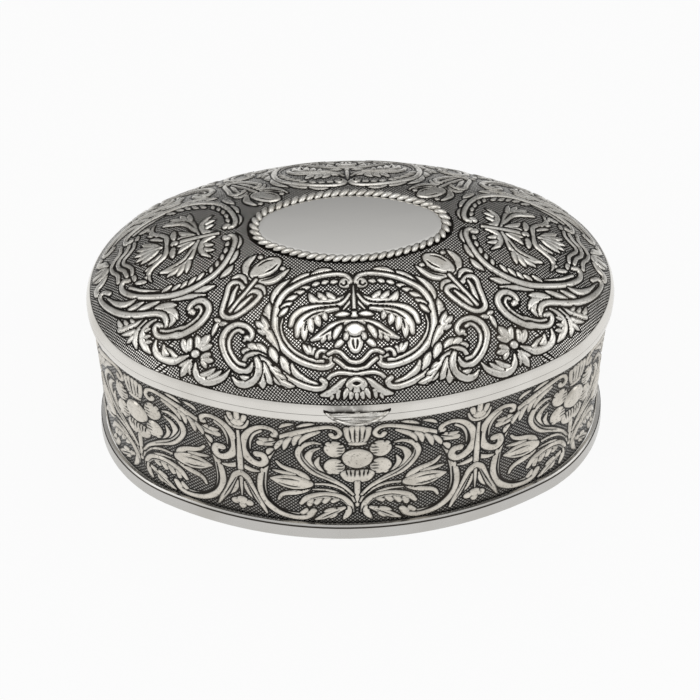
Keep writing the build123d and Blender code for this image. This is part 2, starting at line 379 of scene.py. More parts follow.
def front_ribbons():
    """Ribbons below the medallion, with a bud at the rim."""
    yield raised(0.45, band(0.95, (7.3, -41.3), (5.8, -40.7), (4.2, -41.0), (2.9, -42.3), (1.6, -43.5),
                            (0.0, -43.9)))
    yield raised(0.45, band(0.95, (5.6, -42.9), (4.0, -44.1), (2.6, -45.3), (0.0, -45.8)))
    yield raised(0.45, band(0.9, (8.3, -48.8), (7.4, -47.6), (6.3, -46.9), (4.2, -46.5), (0.0, -47.1)))
    yield raised(0.45, stroke(1.9, (0.4, 0.7, 1.0, 0.9, 0.3), (2.5, -48.3), (3.9, -48.9), (5.4, -50.4),
                              (7.4, -51.8), (9.9, -52.3)),
                       blade(1.1, (4.8, -50.6), (5.2, -52.0), (5.4, -53.6)),
                       blade(1.1, (6.4, -51.4), (6.9, -52.6), (7.3, -53.6)))
    yield raised(0.5, drop(0, -49.9, 5.4, 4.0, 0),
                      blade(1.1, (0.0, -50.9), (0.0, -52.4), (0.0, -53.9)),
                      blade(1.2, (1.1, -50.9), (1.5, -52.4), (1.8, -53.8)),
                      blade(1.2, (2.2, -50.5), (3.0, -52.0), (3.7, -53.6)))
    yield chased(drop(0.0, -49.4, 2.0, 0.8, 0), lance(0.3, (0.8, -50.4), (1.4, -51.8)))


def tulip():
    """Tulip on a looped stem, between the medallions."""
    yield raised(0.5, blade(2.0, (26.4, -18.6), (23.8, -19.2), (21.3, -18.9), (19.2, -17.6),
                            (17.2, -16.0)))
    yield chased(lance(0.3, (24.6, -18.9), (21.8, -18.4), (19.0, -16.9)))
    yield raised(0.5, stroke(1.7, (0.3, 0.8, 1.0, 1.0, 0.9, 0.6), (25.8, -10.4), (27.4, -11.6),
                             (28.7, -13.4), (28.8, -15.0), (28.0, -16.9), (26.4, -18.4)))
    yield raised(0.55, stroke(4.8, (0.6, 0.9, 1.0, 0.9, 0.5), (26.2, -16.2), (24.8, -15.5), (23.3, -14.7),
                              (21.8, -13.8), (20.4, -12.9)))
    yield chased(lance(0.3, (25.4, -14.2), (23.4, -12.9), (21.4, -12.5)),
                 lance(0.3, (23.4, -16.4), (21.6, -15.6), (20.2, -14.2)))
    yield raised(0.4, drop(24.8, -11.1, 1.4, 1.2))
    yield raised(0.4, drop(18.8, -15.5, 1.4, 1.2))
    yield raised(0.4, stroke(1.15, (0.8, 1.0, 1.0, 0.5), (32.2, -17.0), (30.8, -16.5), (29.4, -17.3),
                             (28.8, -18.9)))
    yield raised(0.4, stroke(1.15, (0.5, 1.0, 1.0, 0.8), (26.9, -20.8), (25.6, -20.4), (24.3, -21.2),
                             (24.0, -22.8)))
    yield raised(0.5, band(1.2, (29.6, -20.4), (30.8, -18.9), (32.3, -18.4), (33.6, -19.5), (34.3, -22.0),
                           (35.3, -24.9), (35.8, -26.9), (34.9, -28.3), (32.5, -28.7), (29.6, -27.4),
                           (26.9, -25.4), (25.3, -23.7), (25.4, -22.4), (26.8, -21.8), (28.4, -22.4)))
    yield raised(0.4, stroke(1.2, (0.5, 0.9, 1.0, 0.6), (31.2, -19.8), (32.2, -21.6), (33.1, -24.4),
                             (34.0, -26.6)))
    yield raised(0.4, stroke(1.2, (0.5, 0.9, 1.0, 0.6), (27.4, -23.2), (29.6, -25.0), (31.8, -26.6),
                             (33.6, -27.4)))
    yield raised(0.4, band(0.9, (26.1, -18.3), (28.5, -21.2), (31.0, -24.0), (33.4, -26.8)))
    yield raised(0.45, blade(1.1, (36.4, -29.8), (36.8, -29.2), (37.9, -28.4)),
                       blade(1.2, (36.8, -30.2), (35.4, -30.2), (33.9, -31.0)),
                       blade(1.2, (36.6, -29.6), (37.8, -31.0), (38.8, -33.2)))
    yield raised(0.5, stroke(2.2, (0.25, 0.6, 0.9, 1.0), (20.9, -39.4), (21.8, -37.2), (23.3, -34.6),
                             (24.3, -33.0)),
                      blade(1.7, (23.8, -33.4), (24.9, -32.3), (26.5, -30.8)),
                      blade(1.6, (23.2, -34.0), (24.0, -31.9), (24.8, -29.6)),
                      blade(1.6, (23.2, -35.2), (24.5, -34.0), (26.1, -33.2)))


def front_spray():
    """Scrolls and leaves below the tulip."""
    yield raised(0.5, blade(1.9, (26.6, -39.2), (27.6, -37.8), (29.0, -36.9)),
                      blade(1.8, (28.4, -39.6), (29.4, -38.8), (30.8, -38.6)),
                      blade(1.9, (24.4, -40.2), (25.3, -38.6), (26.7, -37.0)))
    yield raised(0.5, blade(2.0, (21.7, -42.3), (22.2, -40.6), (23.0, -38.4)))
    yield raised(0.5, blade(2.0, (18.1, -45.7), (19.1, -43.8), (20.2, -41.1)))
    yield raised(0.45, stroke(1.5, (0.5, 0.7, 1.0, 1.0, 0.4), (10.9, -49.2), (13.8, -48.0), (16.2, -46.2),
                              (17.0, -44.8), (17.4, -43.5)))
    yield raised(0.55, scroll(1.4, (30.4, -41.0), (29.4, -39.9), (27.3, -39.6), (25.1, -40.6),
                              (23.0, -42.9), (20.8, -45.4), (18.2, -47.5), (14.9, -49.3), (11.5, -50.4),
                              (9.3, -50.2), (8.6, -49.0), (9.5, -48.1)))
    yield raised(0.6, scroll(1.55, (29.7, -35.5), (28.4, -35.4), (27.7, -33.8), (29.1, -31.8),
                             (31.8, -30.9), (34.5, -32.0), (36.1, -34.6), (35.8, -37.6), (35.0, -40.0),
                             (33.8, -42.0), (32.3, -43.5), (30.4, -44.1), (28.9, -43.5), (27.9, -42.4)),
                      drop(29.2, -35.2, 2.0, 1.7, 20))
    yield raised(0.45, band(0.85, (30.2, -33.4), (31.4, -32.6), (33.0, -33.3), (34.2, -35.2),
                            (34.2, -37.6), (33.2, -40.0), (32.0, -41.6), (30.4, -42.3)))
    yield raised(0.5, blade(2.4, (26.3, -40.9), (24.9, -42.2), (23.3, -44.4), (21.6, -47.0),
                            (19.4, -49.6)),
                      blade(1.6, (23.9, -43.2), (22.0, -44.6), (20.6, -45.4)),
                      blade(1.6, (22.9, -44.8), (20.9, -46.4), (19.3, -47.2)),
                      blade(1.6, (21.9, -46.8), (19.6, -48.6), (17.2, -49.4)))
    yield chased(lance(0.3, (25.4, -42.0), (23.4, -44.8), (21.0, -48.2)))
    yield raised(0.5, blade(2.3, (25.3, -42.8), (24.9, -45.4), (23.4, -48.2)),
                      blade(2.4, (25.4, -43.6), (25.8, -46.2), (25.9, -49.0)),
                      blade(2.2, (25.6, -44.0), (26.8, -46.0), (28.2, -47.9)))
    yield chased(lance(0.35, (25.1, -45.2), (24.8, -47.4)), lance(0.35, (25.8, -45.4), (26.6, -47.2)))
    yield raised(0.5, blade(2.2, (27.0, -41.0), (26.6, -43.0), (27.3, -45.2), (28.9, -46.8),
                            (31.0, -47.5), (33.0, -47.0), (34.2, -45.2)),
                      blade(1.4, (28.8, -46.6), (30.4, -46.0), (32.0, -45.2)))
    yield chased(lance(0.3, (27.4, -43.2), (28.3, -45.4), (30.8, -46.8)))


def flower():
    """Flower of leaf-like petals round a button, with two long leaves."""
    yield raised(0.5, blade(1.9, (46.1, -36.3), (46.9, -34.7), (47.3, -32.7)),
                      blade(1.9, (45.9, -36.3), (45.7, -34.6), (45.0, -32.9)))
    yield raised(0.5, blade(1.8, (43.2, -36.0), (42.9, -34.6), (43.1, -32.4)),
                      blade(2.3, (42.8, -36.0), (41.4, -34.6), (39.6, -32.9)),
                      blade(1.7, (42.5, -36.3), (41.0, -36.0), (39.2, -35.7)))
    yield raised(0.5, blade(1.5, (42.5, -38.8), (41.3, -38.4), (39.7, -38.0)),
                      blade(1.5, (42.5, -39.1), (40.8, -39.6), (39.1, -40.1)),
                      blade(1.4, (42.5, -39.3), (41.9, -40.4), (41.5, -41.6)))
    yield raised(0.5, blade(1.5, (45.3, -38.6), (47.0, -39.4), (49.4, -39.8)),
                      blade(2.1, (45.4, -38.8), (47.4, -40.6), (49.4, -42.7)),
                      blade(1.5, (45.4, -39.1), (46.1, -40.7), (46.6, -42.8)))
    yield raised(0.5, stroke(1.9, (0.2, 0.7, 1.0, 1.0, 0.9, 0.7, 0.2), (46.0, -37.5), (48.4, -37.9),
                             (51.0, -38.2), (53.1, -37.3), (54.6, -35.6), (55.0, -33.8), (54.4, -31.6)),
                      blade(1.2, (52.8, -37.4), (52.2, -35.8), (52.2, -33.5)),
                      blade(1.2, (49.4, -37.9), (50.6, -36.4), (51.3, -34.8)))
    yield raised(0.5, stroke(1.9, (0.2, 0.8, 1.0, 1.0, 0.9, 0.7, 0.2), (44.4, -39.8), (44.8, -42.4),
                             (43.8, -44.5), (41.5, -45.6), (39.0, -45.5), (36.6, -44.7), (34.8, -43.2)),
                      blade(1.3, (43.6, -43.4), (41.2, -43.2), (38.8, -42.2)),
                      blade(1.2, (42.2, -44.8), (39.6, -44.2), (37.0, -43.0)))
    yield raised(0.5, drop(44.1, -37.3, 2.3, 2.0))


def side_frame():
    """Large scroll round the side medallion, with its blades and beads."""
    for line in (
        blade(1.3, (31.9, -1.6), (30.8, -3.4), (30.5, -5.2), (31.0, -7.0)),
        lance(1.5, (30.9, -7.8), (31.9, -9.8), (33.2, -12.2)),
        lance(1.6, (32.3, -12.8), (33.8, -14.6), (35.8, -16.3)),
        blade(1.8, (44.0, -19.9), (40.6, -19.2), (37.4, -18.6)),
        blade(1.4, (49.6, -20.4), (44.8, -20.6), (39.9, -21.0)),
    ):
        yield raised(0.45, line)
    yield raised(0.6, scroll(1.6, (33.6, -1.7), (32.4, -2.0), (31.8, -3.2), (31.9, -5.2), (33.0, -8.6),
                             (34.8, -11.9), (37.2, -14.7), (40.1, -16.6), (42.9, -17.9), (46.4, -18.8),
                             (50.2, -18.9), (54.7, -18.0), (59.4, -16.4), (62.7, -14.5), (65.2, -12.1),
                             (65.8, -9.8), (64.9, -8.4), (63.3, -8.9)),
                      drop(34.2, -2.3, 2.4, 2.0, 20))
    for x, y, turn in ((34.0, -5.0, 110), (34.4, -7.2, 105), (35.4, -9.4, 100), (36.8, -11.4, 95),
                       (38.5, -13.1, 100)):
        yield raised(0.4, drop(x, y, 2.1, 1.1, turn))
    for start, end in (((42.7, -15.8), (40.6, -13.9)), ((45.1, -16.7), (42.9, -14.7)),
                       ((47.0, -17.1), (45.4, -15.5)), ((49.5, -17.2), (47.4, -16.0)),
                       ((52.5, -16.9), (50.0, -15.7))):
        yield raised(0.4, stroke(1.15, (0.5, 1.0, 1.0, 0.5), start, end))
    yield raised(0.4, rise(0.9, (53.6, -16.3), (56.0, -15.5), (59.4, -14.1), (62.9, -11.7)))


def side_leaves():
    """Leaves and buttons inside the side medallion."""
    yield raised(0.45, blade(1.7, (37.6, -0.8), (40.4, -1.8), (41.4, -4.0), (40.8, -6.6), (38.6, -8.6)),
                       blade(1.3, (40.9, -2.9), (39.4, -3.8), (37.9, -4.2)),
                       blade(1.3, (41.0, -4.8), (39.4, -5.8), (37.6, -6.2)))
    yield raised(0.5, stroke(2.7, (0.25, 0.5, 0.9, 1.0, 0.9, 0.3), (42.1, -0.7), (43.5, -3.8),
                             (45.0, -7.0), (47.2, -8.9), (50.0, -9.8), (53.2, -10.0)),
                      blade(1.8, (46.6, -8.6), (48.6, -10.6), (51.2, -12.2)),
                      blade(1.8, (45.8, -8.0), (47.0, -10.6), (48.2, -13.0)),
                      blade(1.7, (44.9, -7.0), (45.2, -9.6), (45.6, -12.4)))
    yield chased(lance(0.35, (43.6, -4.6), (46.0, -8.2), (49.6, -9.9)))
    yield raised(0.45, blade(1.7, (43.6, -1.4), (46.6, -2.9), (48.2, -4.6)),
                       blade(1.4, (43.4, -0.9), (46.4, -1.5), (48.6, -1.6)))
    yield raised(0.5, rise(1.2, (36.4, -0.2), (42.0, 0.0), (48.0, 0.0)))
    yield raised(0.5, drop(49.4, 0.0, 2.2, 2.0))
    yield raised(0.45, lance(1.7, (49.5, -1.4), (49.9, -3.6), (49.7, -5.8)))
    yield raised(0.5, blade(1.7, (51.8, 0.0), (51.8, -2.3), (52.6, -4.3), (54.6, -5.9), (56.3, -7.5),
                            (57.0, -9.2), (56.7, -10.9), (56.0, -12.3)),
                      blade(1.2, (56.9, -9.6), (58.0, -10.6), (58.4, -12.0)),
                      blade(1.2, (55.0, -6.0), (56.6, -7.0), (58.2, -7.7)))
    yield raised(0.4, blade(1.1, (53.2, -3.0), (55.1, -4.4), (57.4, -5.4)))
    yield raised(0.5, blade(1.9, (54.4, -0.9), (57.2, -2.6), (59.6, -4.2)),
                      blade(1.9, (54.6, -0.5), (58.0, -1.4), (61.2, -2.4)),
                      blade(1.9, (53.4, 0.0), (58.0, 0.0), (62.0, 0.0)))
    yield raised(0.4, lance(1.3, (61.3, -10.2), (61.5, -8.8), (62.2, -6.9)))
    yield raised(0.4, lance(1.5, (61.3, -10.8), (59.8, -11.1), (57.5, -11.8)))


def side_ribbons():
    """Ribbons, bud and outer scroll at the end of the lid."""
    yield raised(0.45, band(1.0, (62.3, -6.9), (62.4, -4.8), (63.7, -2.8), (65.2, -1.2), (65.6, 0.0)))
    yield raised(0.45, band(1.1, (64.0, -6.8), (65.1, -4.1), (66.9, -2.1), (67.6, 0.0)))
    yield raised(0.45, band(1.1, (67.0, -7.8), (67.3, -4.8), (69.0, -2.5), (70.1, 0.0)))
    yield raised(0.5, drop(74.2, 0.0, 6.4, 5.0),
                      blade(2.2, (71.6, -2.4), (73.0, -4.2), (75.2, -5.4), (75.2, -7.4), (72.6, -9.2)))
    yield chased(lance(0.4, (73.0, -1.0), (75.4, -1.2), (77.4, -1.0)),
                 lance(0.4, (73.2, -2.6), (75.0, -3.6), (76.4, -5.2)))
    yield raised(0.45, stroke(1.8, (0.3, 0.5, 0.8, 1.0, 0.9, 0.25), (70.6, -12.0), (68.6, -14.4),
                              (66.4, -16.2), (64.3, -17.1), (62.6, -17.1), (60.9, -16.8)))
    yield raised(0.45, lance(1.6, (63.6, -19.3), (61.2, -19.2), (58.2, -18.5)))
    yield raised(0.45, lance(1.6, (60.6, -20.7), (57.1, -20.4), (53.4, -19.9)))
    yield raised(0.5, blade(2.2, (54.4, -21.9), (51.0, -22.1), (48.4, -22.4)),
                      blade(2.0, (52.2, -22.8), (49.5, -24.4), (48.0, -26.9)),
                      blade(1.6, (50.4, -24.4), (49.3, -26.9), (50.8, -28.7)))
    yield raised(0.55, scroll(1.7, (70.0, -10.4), (70.9, -9.5), (72.3, -8.7), (73.5, -9.2), (73.6, -10.8),
                              (71.5, -14.4), (67.7, -18.4), (63.3, -21.2), (58.7, -22.7), (54.6, -23.5),
                              (52.3, -24.7), (51.5, -26.3), (51.6, -27.9)))


def side_spray():
    """Leaves and a curling scroll between the flower and the end."""
    yield raised(0.5, stroke(2.0, (0.3, 0.7, 1.0, 0.9), (57.6, -24.4), (61.0, -25.0), (64.1, -25.2),
                             (66.4, -24.8)),
                      blade(1.4, (64.7, -25.0), (66.2, -23.8), (66.9, -21.4)),
                      blade(1.2, (63.0, -24.9), (64.0, -24.0), (64.8, -22.3)),
                      blade(1.1, (61.0, -24.7), (61.9, -24.0), (62.7, -22.7)))
    yield raised(0.5, stroke(2.3, (0.3, 0.6, 0.9, 0.8, 0.3), (57.6, -25.0), (59.1, -26.4), (60.7, -27.7),
                             (61.3, -29.8), (61.0, -32.5)),
                      blade(1.6, (60.1, -27.0), (62.7, -27.2), (65.8, -26.8)),
                      blade(1.6, (60.9, -28.0), (62.4, -29.0), (64.1, -30.0)))
    yield raised(0.5, stroke(1.9, (0.3, 0.6, 0.9, 1.0, 0.9, 0.25), (54.6, -25.5), (56.7, -26.2),
                             (58.4, -27.8), (59.0, -30.2), (58.2, -32.8), (56.4, -35.4)),
                      blade(1.2, (58.6, -28.7), (57.8, -28.0), (56.3, -27.8)),
                      blade(1.2, (58.8, -30.4), (57.8, -30.0), (56.3, -30.1)),
                      blade(1.2, (58.6, -32.0), (57.4, -31.7), (55.8, -32.0)))
    yield raised(0.55, scroll(1.6, (52.9, -27.9), (54.2, -27.2), (55.0, -28.4), (54.1, -30.5),
                              (51.6, -31.5), (48.7, -31.5), (45.6, -30.8), (42.5, -29.4), (40.1, -27.1),
                              (39.3, -24.9), (40.2, -23.0), (41.9, -22.4), (43.8, -23.1), (44.6, -24.4),
                              (44.2, -25.8)),
                       drop(44.2, -25.4, 2.4, 1.9, 70))
    yield raised(0.4, band(0.65, (53.0, -29.2), (51.0, -29.9), (48.0, -29.8), (45.4, -29.0),
                           (42.8, -27.4), (41.5, -25.6), (41.8, -24.2), (42.6, -24.4)))


LID_PARTS = (front_frame, front_leaves, front_ribbons, tulip, front_spray, flower, side_frame, side_leaves,
             side_ribbons, side_spray)


def paint(relief, parts):
    """Puts the motifs on a relief, one over the other."""
    for part in parts:
        for height, marks in part():
            if height is None:
                relief.cut(marks)
            else:
                relief.raise_marks(marks, height)
    return relief


# Ornament of the wall, for half a panel, from the middle of its flower

def wall_flower():
    """Flower in the middle of a panel, on its stem."""
    yield raised(0.5, club(1.5, (1.4, 37.6), (2.4, 40.4), (3.0, 44.4)),
                      club(1.5, (0.8, 37.6), (1.2, 41.0), (1.4, 44.8)),
                      club(1.4, (0.0, 37.6), (0.0, 41.2), (0.0, 45.0)),
                      band(1.6, (0.0, 38.2), (1.6, 38.4)))
    yield chased(lance(0.35, (0.7, 39.4), (0.7, 44.6)), lance(0.35, (1.7, 39.8), (2.2, 44.4)))
    yield raised(0.6, drop(6.3, 35.9, 5.9, 5.1, 90), drop(7.2, 37.4, 3.2, 2.6, 40))
    yield raised(0.6, drop(6.4, 28.6, 5.9, 5.1, 90), drop(7.0, 27.0, 3.4, 2.8, -40))
    yield chased(lance(0.35, (3.4, 38.0), (5.2, 38.2)),
                 lance(0.35, (3.5, 36.8), (5.6, 36.8)),
                 lance(0.35, (3.7, 35.6), (5.8, 35.6)),
                 lance(0.35, (3.8, 34.4), (5.4, 34.4)),
                 lance(0.35, (3.8, 30.4), (5.5, 30.4)),
                 lance(0.35, (3.7, 29.2), (5.9, 29.2)),
                 lance(0.35, (3.6, 28.0), (5.8, 28.0)),
                 lance(0.35, (3.4, 26.8), (5.2, 26.7)))
    yield raised(0.55, stroke(4.4, (0.6, 1.0, 1.0, 0.9), (3.2, 25.4), (1.6, 24.7), (0.0, 24.4),
                              (-1.0, 24.4)))
    yield chased(lance(0.4, (0.7, 24.6), (0.6, 27.4)),
                 lance(0.4, (1.7, 24.8), (1.9, 27.4)),
                 lance(0.4, (2.7, 25.2), (3.1, 27.2)))
    yield raised(0.8, drop(0, 32.1, 7.6, 6.8))
    yield raised(0.45, stroke(1.4, (1.0, 0.9, 0.6), (0.0, 22.0), (0.0, 17.5), (0.0, 12.2)))


def wall_cradle():
    """Leaf and thin stems that cradle the flower."""
    yield raised(0.4, stroke(0.75, (0.8, 1.0, 1.0, 0.6), (13.2, 20.9), (8.8, 21.1), (4.8, 19.5),
                             (1.9, 16.4), (0.8, 13.8)))
    yield raised(0.4, stroke(0.75, (0.5, 1.0, 1.0, 0.8), (12.5, 18.7), (8.4, 18.7), (4.3, 16.6),
                             (2.0, 13.0), (1.4, 9.0)))
    yield raised(0.45, blade(1.8, (6.4, 22.6), (9.8, 25.5), (11.3, 28.8), (11.2, 30.6), (10.6, 32.3)))
    yield raised(0.5, blade(2.0, (7.6, 23.4), (12.0, 26.6), (13.7, 30.2), (13.6, 32.6), (12.5, 34.8),
                            (10.4, 36.2)))
    yield raised(0.55, stroke(1.9, (0.35, 0.5, 0.75, 0.95, 1.0, 0.9, 0.7, 0.2), (1.2, 16.8), (3.8, 20.3),
                              (8.0, 23.6), (12.3, 26.2), (15.1, 29.9), (16.3, 33.4), (15.1, 36.6),
                              (12.3, 38.3), (10.0, 38.0)))
    yield chased(lance(0.3, (6.4, 22.9), (11.8, 26.4), (14.9, 30.4), (15.6, 33.4), (14.6, 36.0)))


def wall_tulip():
    """Tulip beside the flower's stem."""
    yield raised(0.5, stroke(1.6, (0.9, 1.0, 1.0, 0.9, 0.7, 0.4), (13.6, 21.6), (14.8, 24.0),
                             (17.1, 25.6), (19.6, 26.6), (21.4, 27.6), (22.6, 29.2)))
    yield raised(0.45, blade(1.1, (17.4, 24.4), (19.8, 24.7), (21.8, 25.0), (23.9, 25.4)))
    yield raised(0.5, stroke(1.6, (0.9, 1.0, 1.0, 0.9, 0.7, 0.4), (13.6, 20.2), (14.6, 18.4),
                             (17.4, 16.9), (20.2, 16.1), (21.6, 15.0), (22.4, 13.2)))
    yield raised(0.55, stroke(4.9, (0.5, 0.85, 1.0, 0.9, 0.55, 0.12), (13.8, 20.8), (16.0, 20.9),
                              (18.2, 21.1), (20.3, 21.3), (22.3, 21.5), (24.4, 21.7)))
    yield chased(lance(0.35, (16.4, 22.2), (19.2, 22.5), (22.6, 22.3)),
                 lance(0.35, (16.2, 19.6), (19.0, 19.7), (22.2, 20.6)))


def wall_ring():
    """Large curl round the tulip."""
    yield raised(0.55, stroke(2.6, (0.3, 0.42, 0.6, 0.85, 0.9, 0.85, 0.85, 0.9, 0.9, 0.6), (23.4, 33.4),
                              (24.8, 30.4), (25.8, 26.7), (26.9, 22.3), (27.3, 17.3), (26.4, 12.6),
                              (24.1, 9.3), (20.8, 7.4), (16.6, 6.8), (13.8, 7.6), (12.4, 9.6)),
                       blade(1.5, (16.2, 7.6), (14.8, 9.2), (14.4, 10.4)))
    yield chased(stroke(0.5, (0.5, 1.0, 1.0, 1.0, 0.4), (26.2, 24.0), (26.6, 17.6), (25.4, 12.8),
                        (21.8, 9.0), (17.6, 7.6), (14.4, 8.0)))


def wall_acanthus():
    """Acanthus leaves at the foot of the stem."""
    yield raised(0.55, stroke(2.1, (0.4, 0.8, 0.9, 1.0, 1.0, 0.9, 0.5), (1.4, 9.6), (2.2, 12.8),
                              (4.6, 15.6), (8.0, 16.5), (11.3, 16.1), (14.2, 14.8), (16.0, 12.4)),
                       club(1.5, (12.4, 15.6), (13.2, 13.8), (13.6, 12.2)),
                       club(1.5, (9.8, 15.8), (10.8, 14.4), (11.6, 13.0)),
                       club(1.5, (7.2, 15.9), (8.4, 14.8), (9.2, 13.6)),
                       club(1.3, (4.6, 15.0), (5.9, 14.5), (6.9, 13.9)))
    yield chased(lance(0.3, (2.6, 12.6), (5.0, 15.4), (9.0, 16.4), (13.4, 15.0)))
    yield raised(0.45, blade(1.6, (2.4, 11.6), (2.6, 8.9), (4.0, 6.4)))
    yield raised(0.5, blade(2.0, (3.8, 11.2), (6.4, 9.7), (8.9, 7.7), (12.0, 5.9)),
                      blade(1.5, (5.2, 10.6), (7.4, 10.2), (9.4, 9.4)),
                      blade(1.4, (6.0, 9.6), (6.6, 8.2), (8.0, 6.8)))
    yield chased(lance(0.3, (5.0, 10.4), (7.6, 8.7), (10.2, 6.9)))


def wall_top_scroll():
    """Scroll with leaves under the bead."""
    yield raised(0.55, stroke(2.7, (0.45, 0.4, 0.4, 0.45, 0.6, 0.85, 1.0, 1.0, 0.6), (7.2, 42.0),
                              (6.6, 41.0), (5.3, 41.2), (4.7, 42.6), (5.8, 44.5), (8.0, 45.1),
                              (11.3, 44.3), (14.6, 42.8), (18.0, 40.8), (21.4, 38.6), (24.2, 36.9),
                              (27.2, 35.9)),
                       blade(1.4, (23.6, 37.6), (25.8, 37.5), (27.6, 37.8)))
    yield chased(stroke(0.35, (0.5, 1.0, 1.0, 0.5), (8.6, 44.2), (12.0, 43.2), (15.4, 41.6),
                        (18.6, 39.7)),
                 lance(0.35, (18.8, 40.6), (22.4, 38.2), (26.0, 36.5)),
                 lance(0.3, (20.8, 38.2), (23.6, 36.6)))
    yield raised(0.5, blade(1.4, (10.4, 43.0), (13.4, 41.2), (15.2, 39.2), (16.0, 37.2)),
                      blade(1.4, (15.6, 41.0), (17.0, 39.4), (17.6, 36.4)),
                      blade(1.4, (18.4, 39.6), (19.6, 37.6), (20.4, 34.4)),
                      blade(1.3, (20.8, 38.2), (22.0, 36.2), (23.0, 34.0)))
    yield raised(0.35, lance(1.0, (11.6, 46.2), (14.2, 45.6), (16.6, 44.4)),
                       lance(1.1, (17.4, 45.6), (19.8, 44.8), (21.4, 43.4)))


def wall_top_curl():
    """Curl at the end of the top scroll."""
    yield raised(0.55, stroke(2.1, (0.7, 0.55, 0.6, 0.75, 0.9, 1.0, 1.0, 0.95, 0.9, 0.8, 0.9),
                              (22.6, 39.8), (22.7, 41.4), (24.0, 42.5), (26.4, 42.7), (29.2, 40.9),
                              (31.4, 37.2), (32.0, 32.8), (31.2, 29.4), (29.2, 27.3), (27.0, 27.0),
                              (25.9, 28.8), (26.6, 30.9), (28.2, 31.0)),
                       drop(22.9, 39.9, 1.9, 1.7))
    yield chased(stroke(0.35, (0.5, 1.0, 1.0, 0.5), (24.6, 41.9), (27.6, 41.0), (30.0, 37.6),
                        (30.9, 33.2), (30.0, 29.8)))
    yield raised(0.35, taper(0.7, (26.6, 41.0), (28.7, 39.0), (29.8, 36.0), (30.0, 32.8)))
    yield raised(0.4, lance(1.4, (25.0, 31.6), (24.6, 33.2), (23.4, 34.4)))
    yield raised(0.45, stroke(1.4, (0.3, 0.9, 1.0, 0.8, 0.3), (33.3, 26.2), (31.8, 24.7), (29.9, 23.9),
                              (27.9, 23.8)))


def wall_bell():
    """Bell flower and its stem at the edge of a panel."""
    edge = 33.3
    yield raised(0.45, stroke(1.4, (0.5, 0.7, 1.0, 1.0), (edge, 40.0), (edge, 34.0), (edge, 28.0),
                              (edge, 22.8)))
    yield raised(0.5, club(1.5, (edge, 42.0), (edge, 44.0), (edge, 46.6)),
                      drop(edge, 42.9, 4.0, 2.8),
                      club(1.4, (edge - 0.9, 42.6), (edge - 1.8, 44.2), (edge - 2.2, 45.8)))
    yield raised(0.4, stroke(0.9, (1.0, 0.9, 0.5), (edge, 40.8), (edge - 1.6, 41.2), (edge - 2.7, 42.6),
                             (edge - 3.3, 44.4)))
    yield raised(0.4, blade(1.4, (edge - 0.9, 20.2), (edge - 1.4, 16.8), (edge - 2.4, 13.6),
                            (edge - 3.9, 11.4)))
    yield raised(0.4, taper(0.9, (edge, 21.0), (edge, 16.0), (edge, 12.0)))
    yield raised(0.6, stroke(1.6, (1.0, 1.0, 0.95, 0.95, 0.9, 0.7, 0.3), (edge, 21.9), (edge - 1.7, 20.4),
                             (edge - 3.0, 16.9), (edge - 4.4, 12.9), (edge - 6.0, 9.6),
                             (edge - 7.3, 6.6)))
    yield chased(stroke(0.3, (0.5, 1.0, 0.4), (edge - 1.5, 19.6), (edge - 3.2, 15.6), (edge - 5.4, 10.6)))
    yield raised(0.5, drop(edge, 9.9, 3.2, 3.0),
                      drop(edge - 1.9, 9.4, 2.6, 2.2, 20),
                      drop(edge, 8.0, 2.4, 2.0, 90))


WALL_PARTS = (wall_flower, wall_cradle, wall_tulip, wall_ring, wall_acanthus, wall_top_scroll, wall_top_curl,
              wall_bell)


# Finishes

class Value:
    """A socket of a finish. Arithmetic on it adds the nodes that it needs."""

    def __init__(self, finish, socket):
        self.finish, self.socket = finish, socket

    def math(self, operation, *others):
        """This value put through a Math node."""
        inputs = dict(enumerate((self, *others)))
        return self.finish.node("ShaderNodeMath", {"operation": operation}, inputs)

    def __add__(self, other):
        return self.math("ADD", other)

    def __sub__(self, other):
        return self.math("SUBTRACT", other)

    def __rsub__(self, other):
        return self * -1 + other

    def __mul__(self, other):
        return self.math("MULTIPLY", other)

    def __truediv__(self, other):
        return self.math("DIVIDE", other)

    __radd__ = __add__
    __rmul__ = __mul__

    def lower(self, other):
        """The lower of two values."""
        return self.math("MINIMUM", other)

    def higher(self, other):
        """The higher of two values."""
        return self.math("MAXIMUM", other)

    def zigzag(self):
        """Rises and falls between 0 and 1 once for each whole step of the value."""
        return (self.math("FRACT") * 2 - 1).math("ABSOLUTE")

    def between(self, low, high):
        """0 below low, 1 above high, and smooth from one to the other."""
        settings = {"interpolation_type": "SMOOTHSTEP"}
        inputs = {"Value": self, "From Min": low, "From Max": high}
        return self.finish.node("ShaderNodeMapRange", settings, inputs)


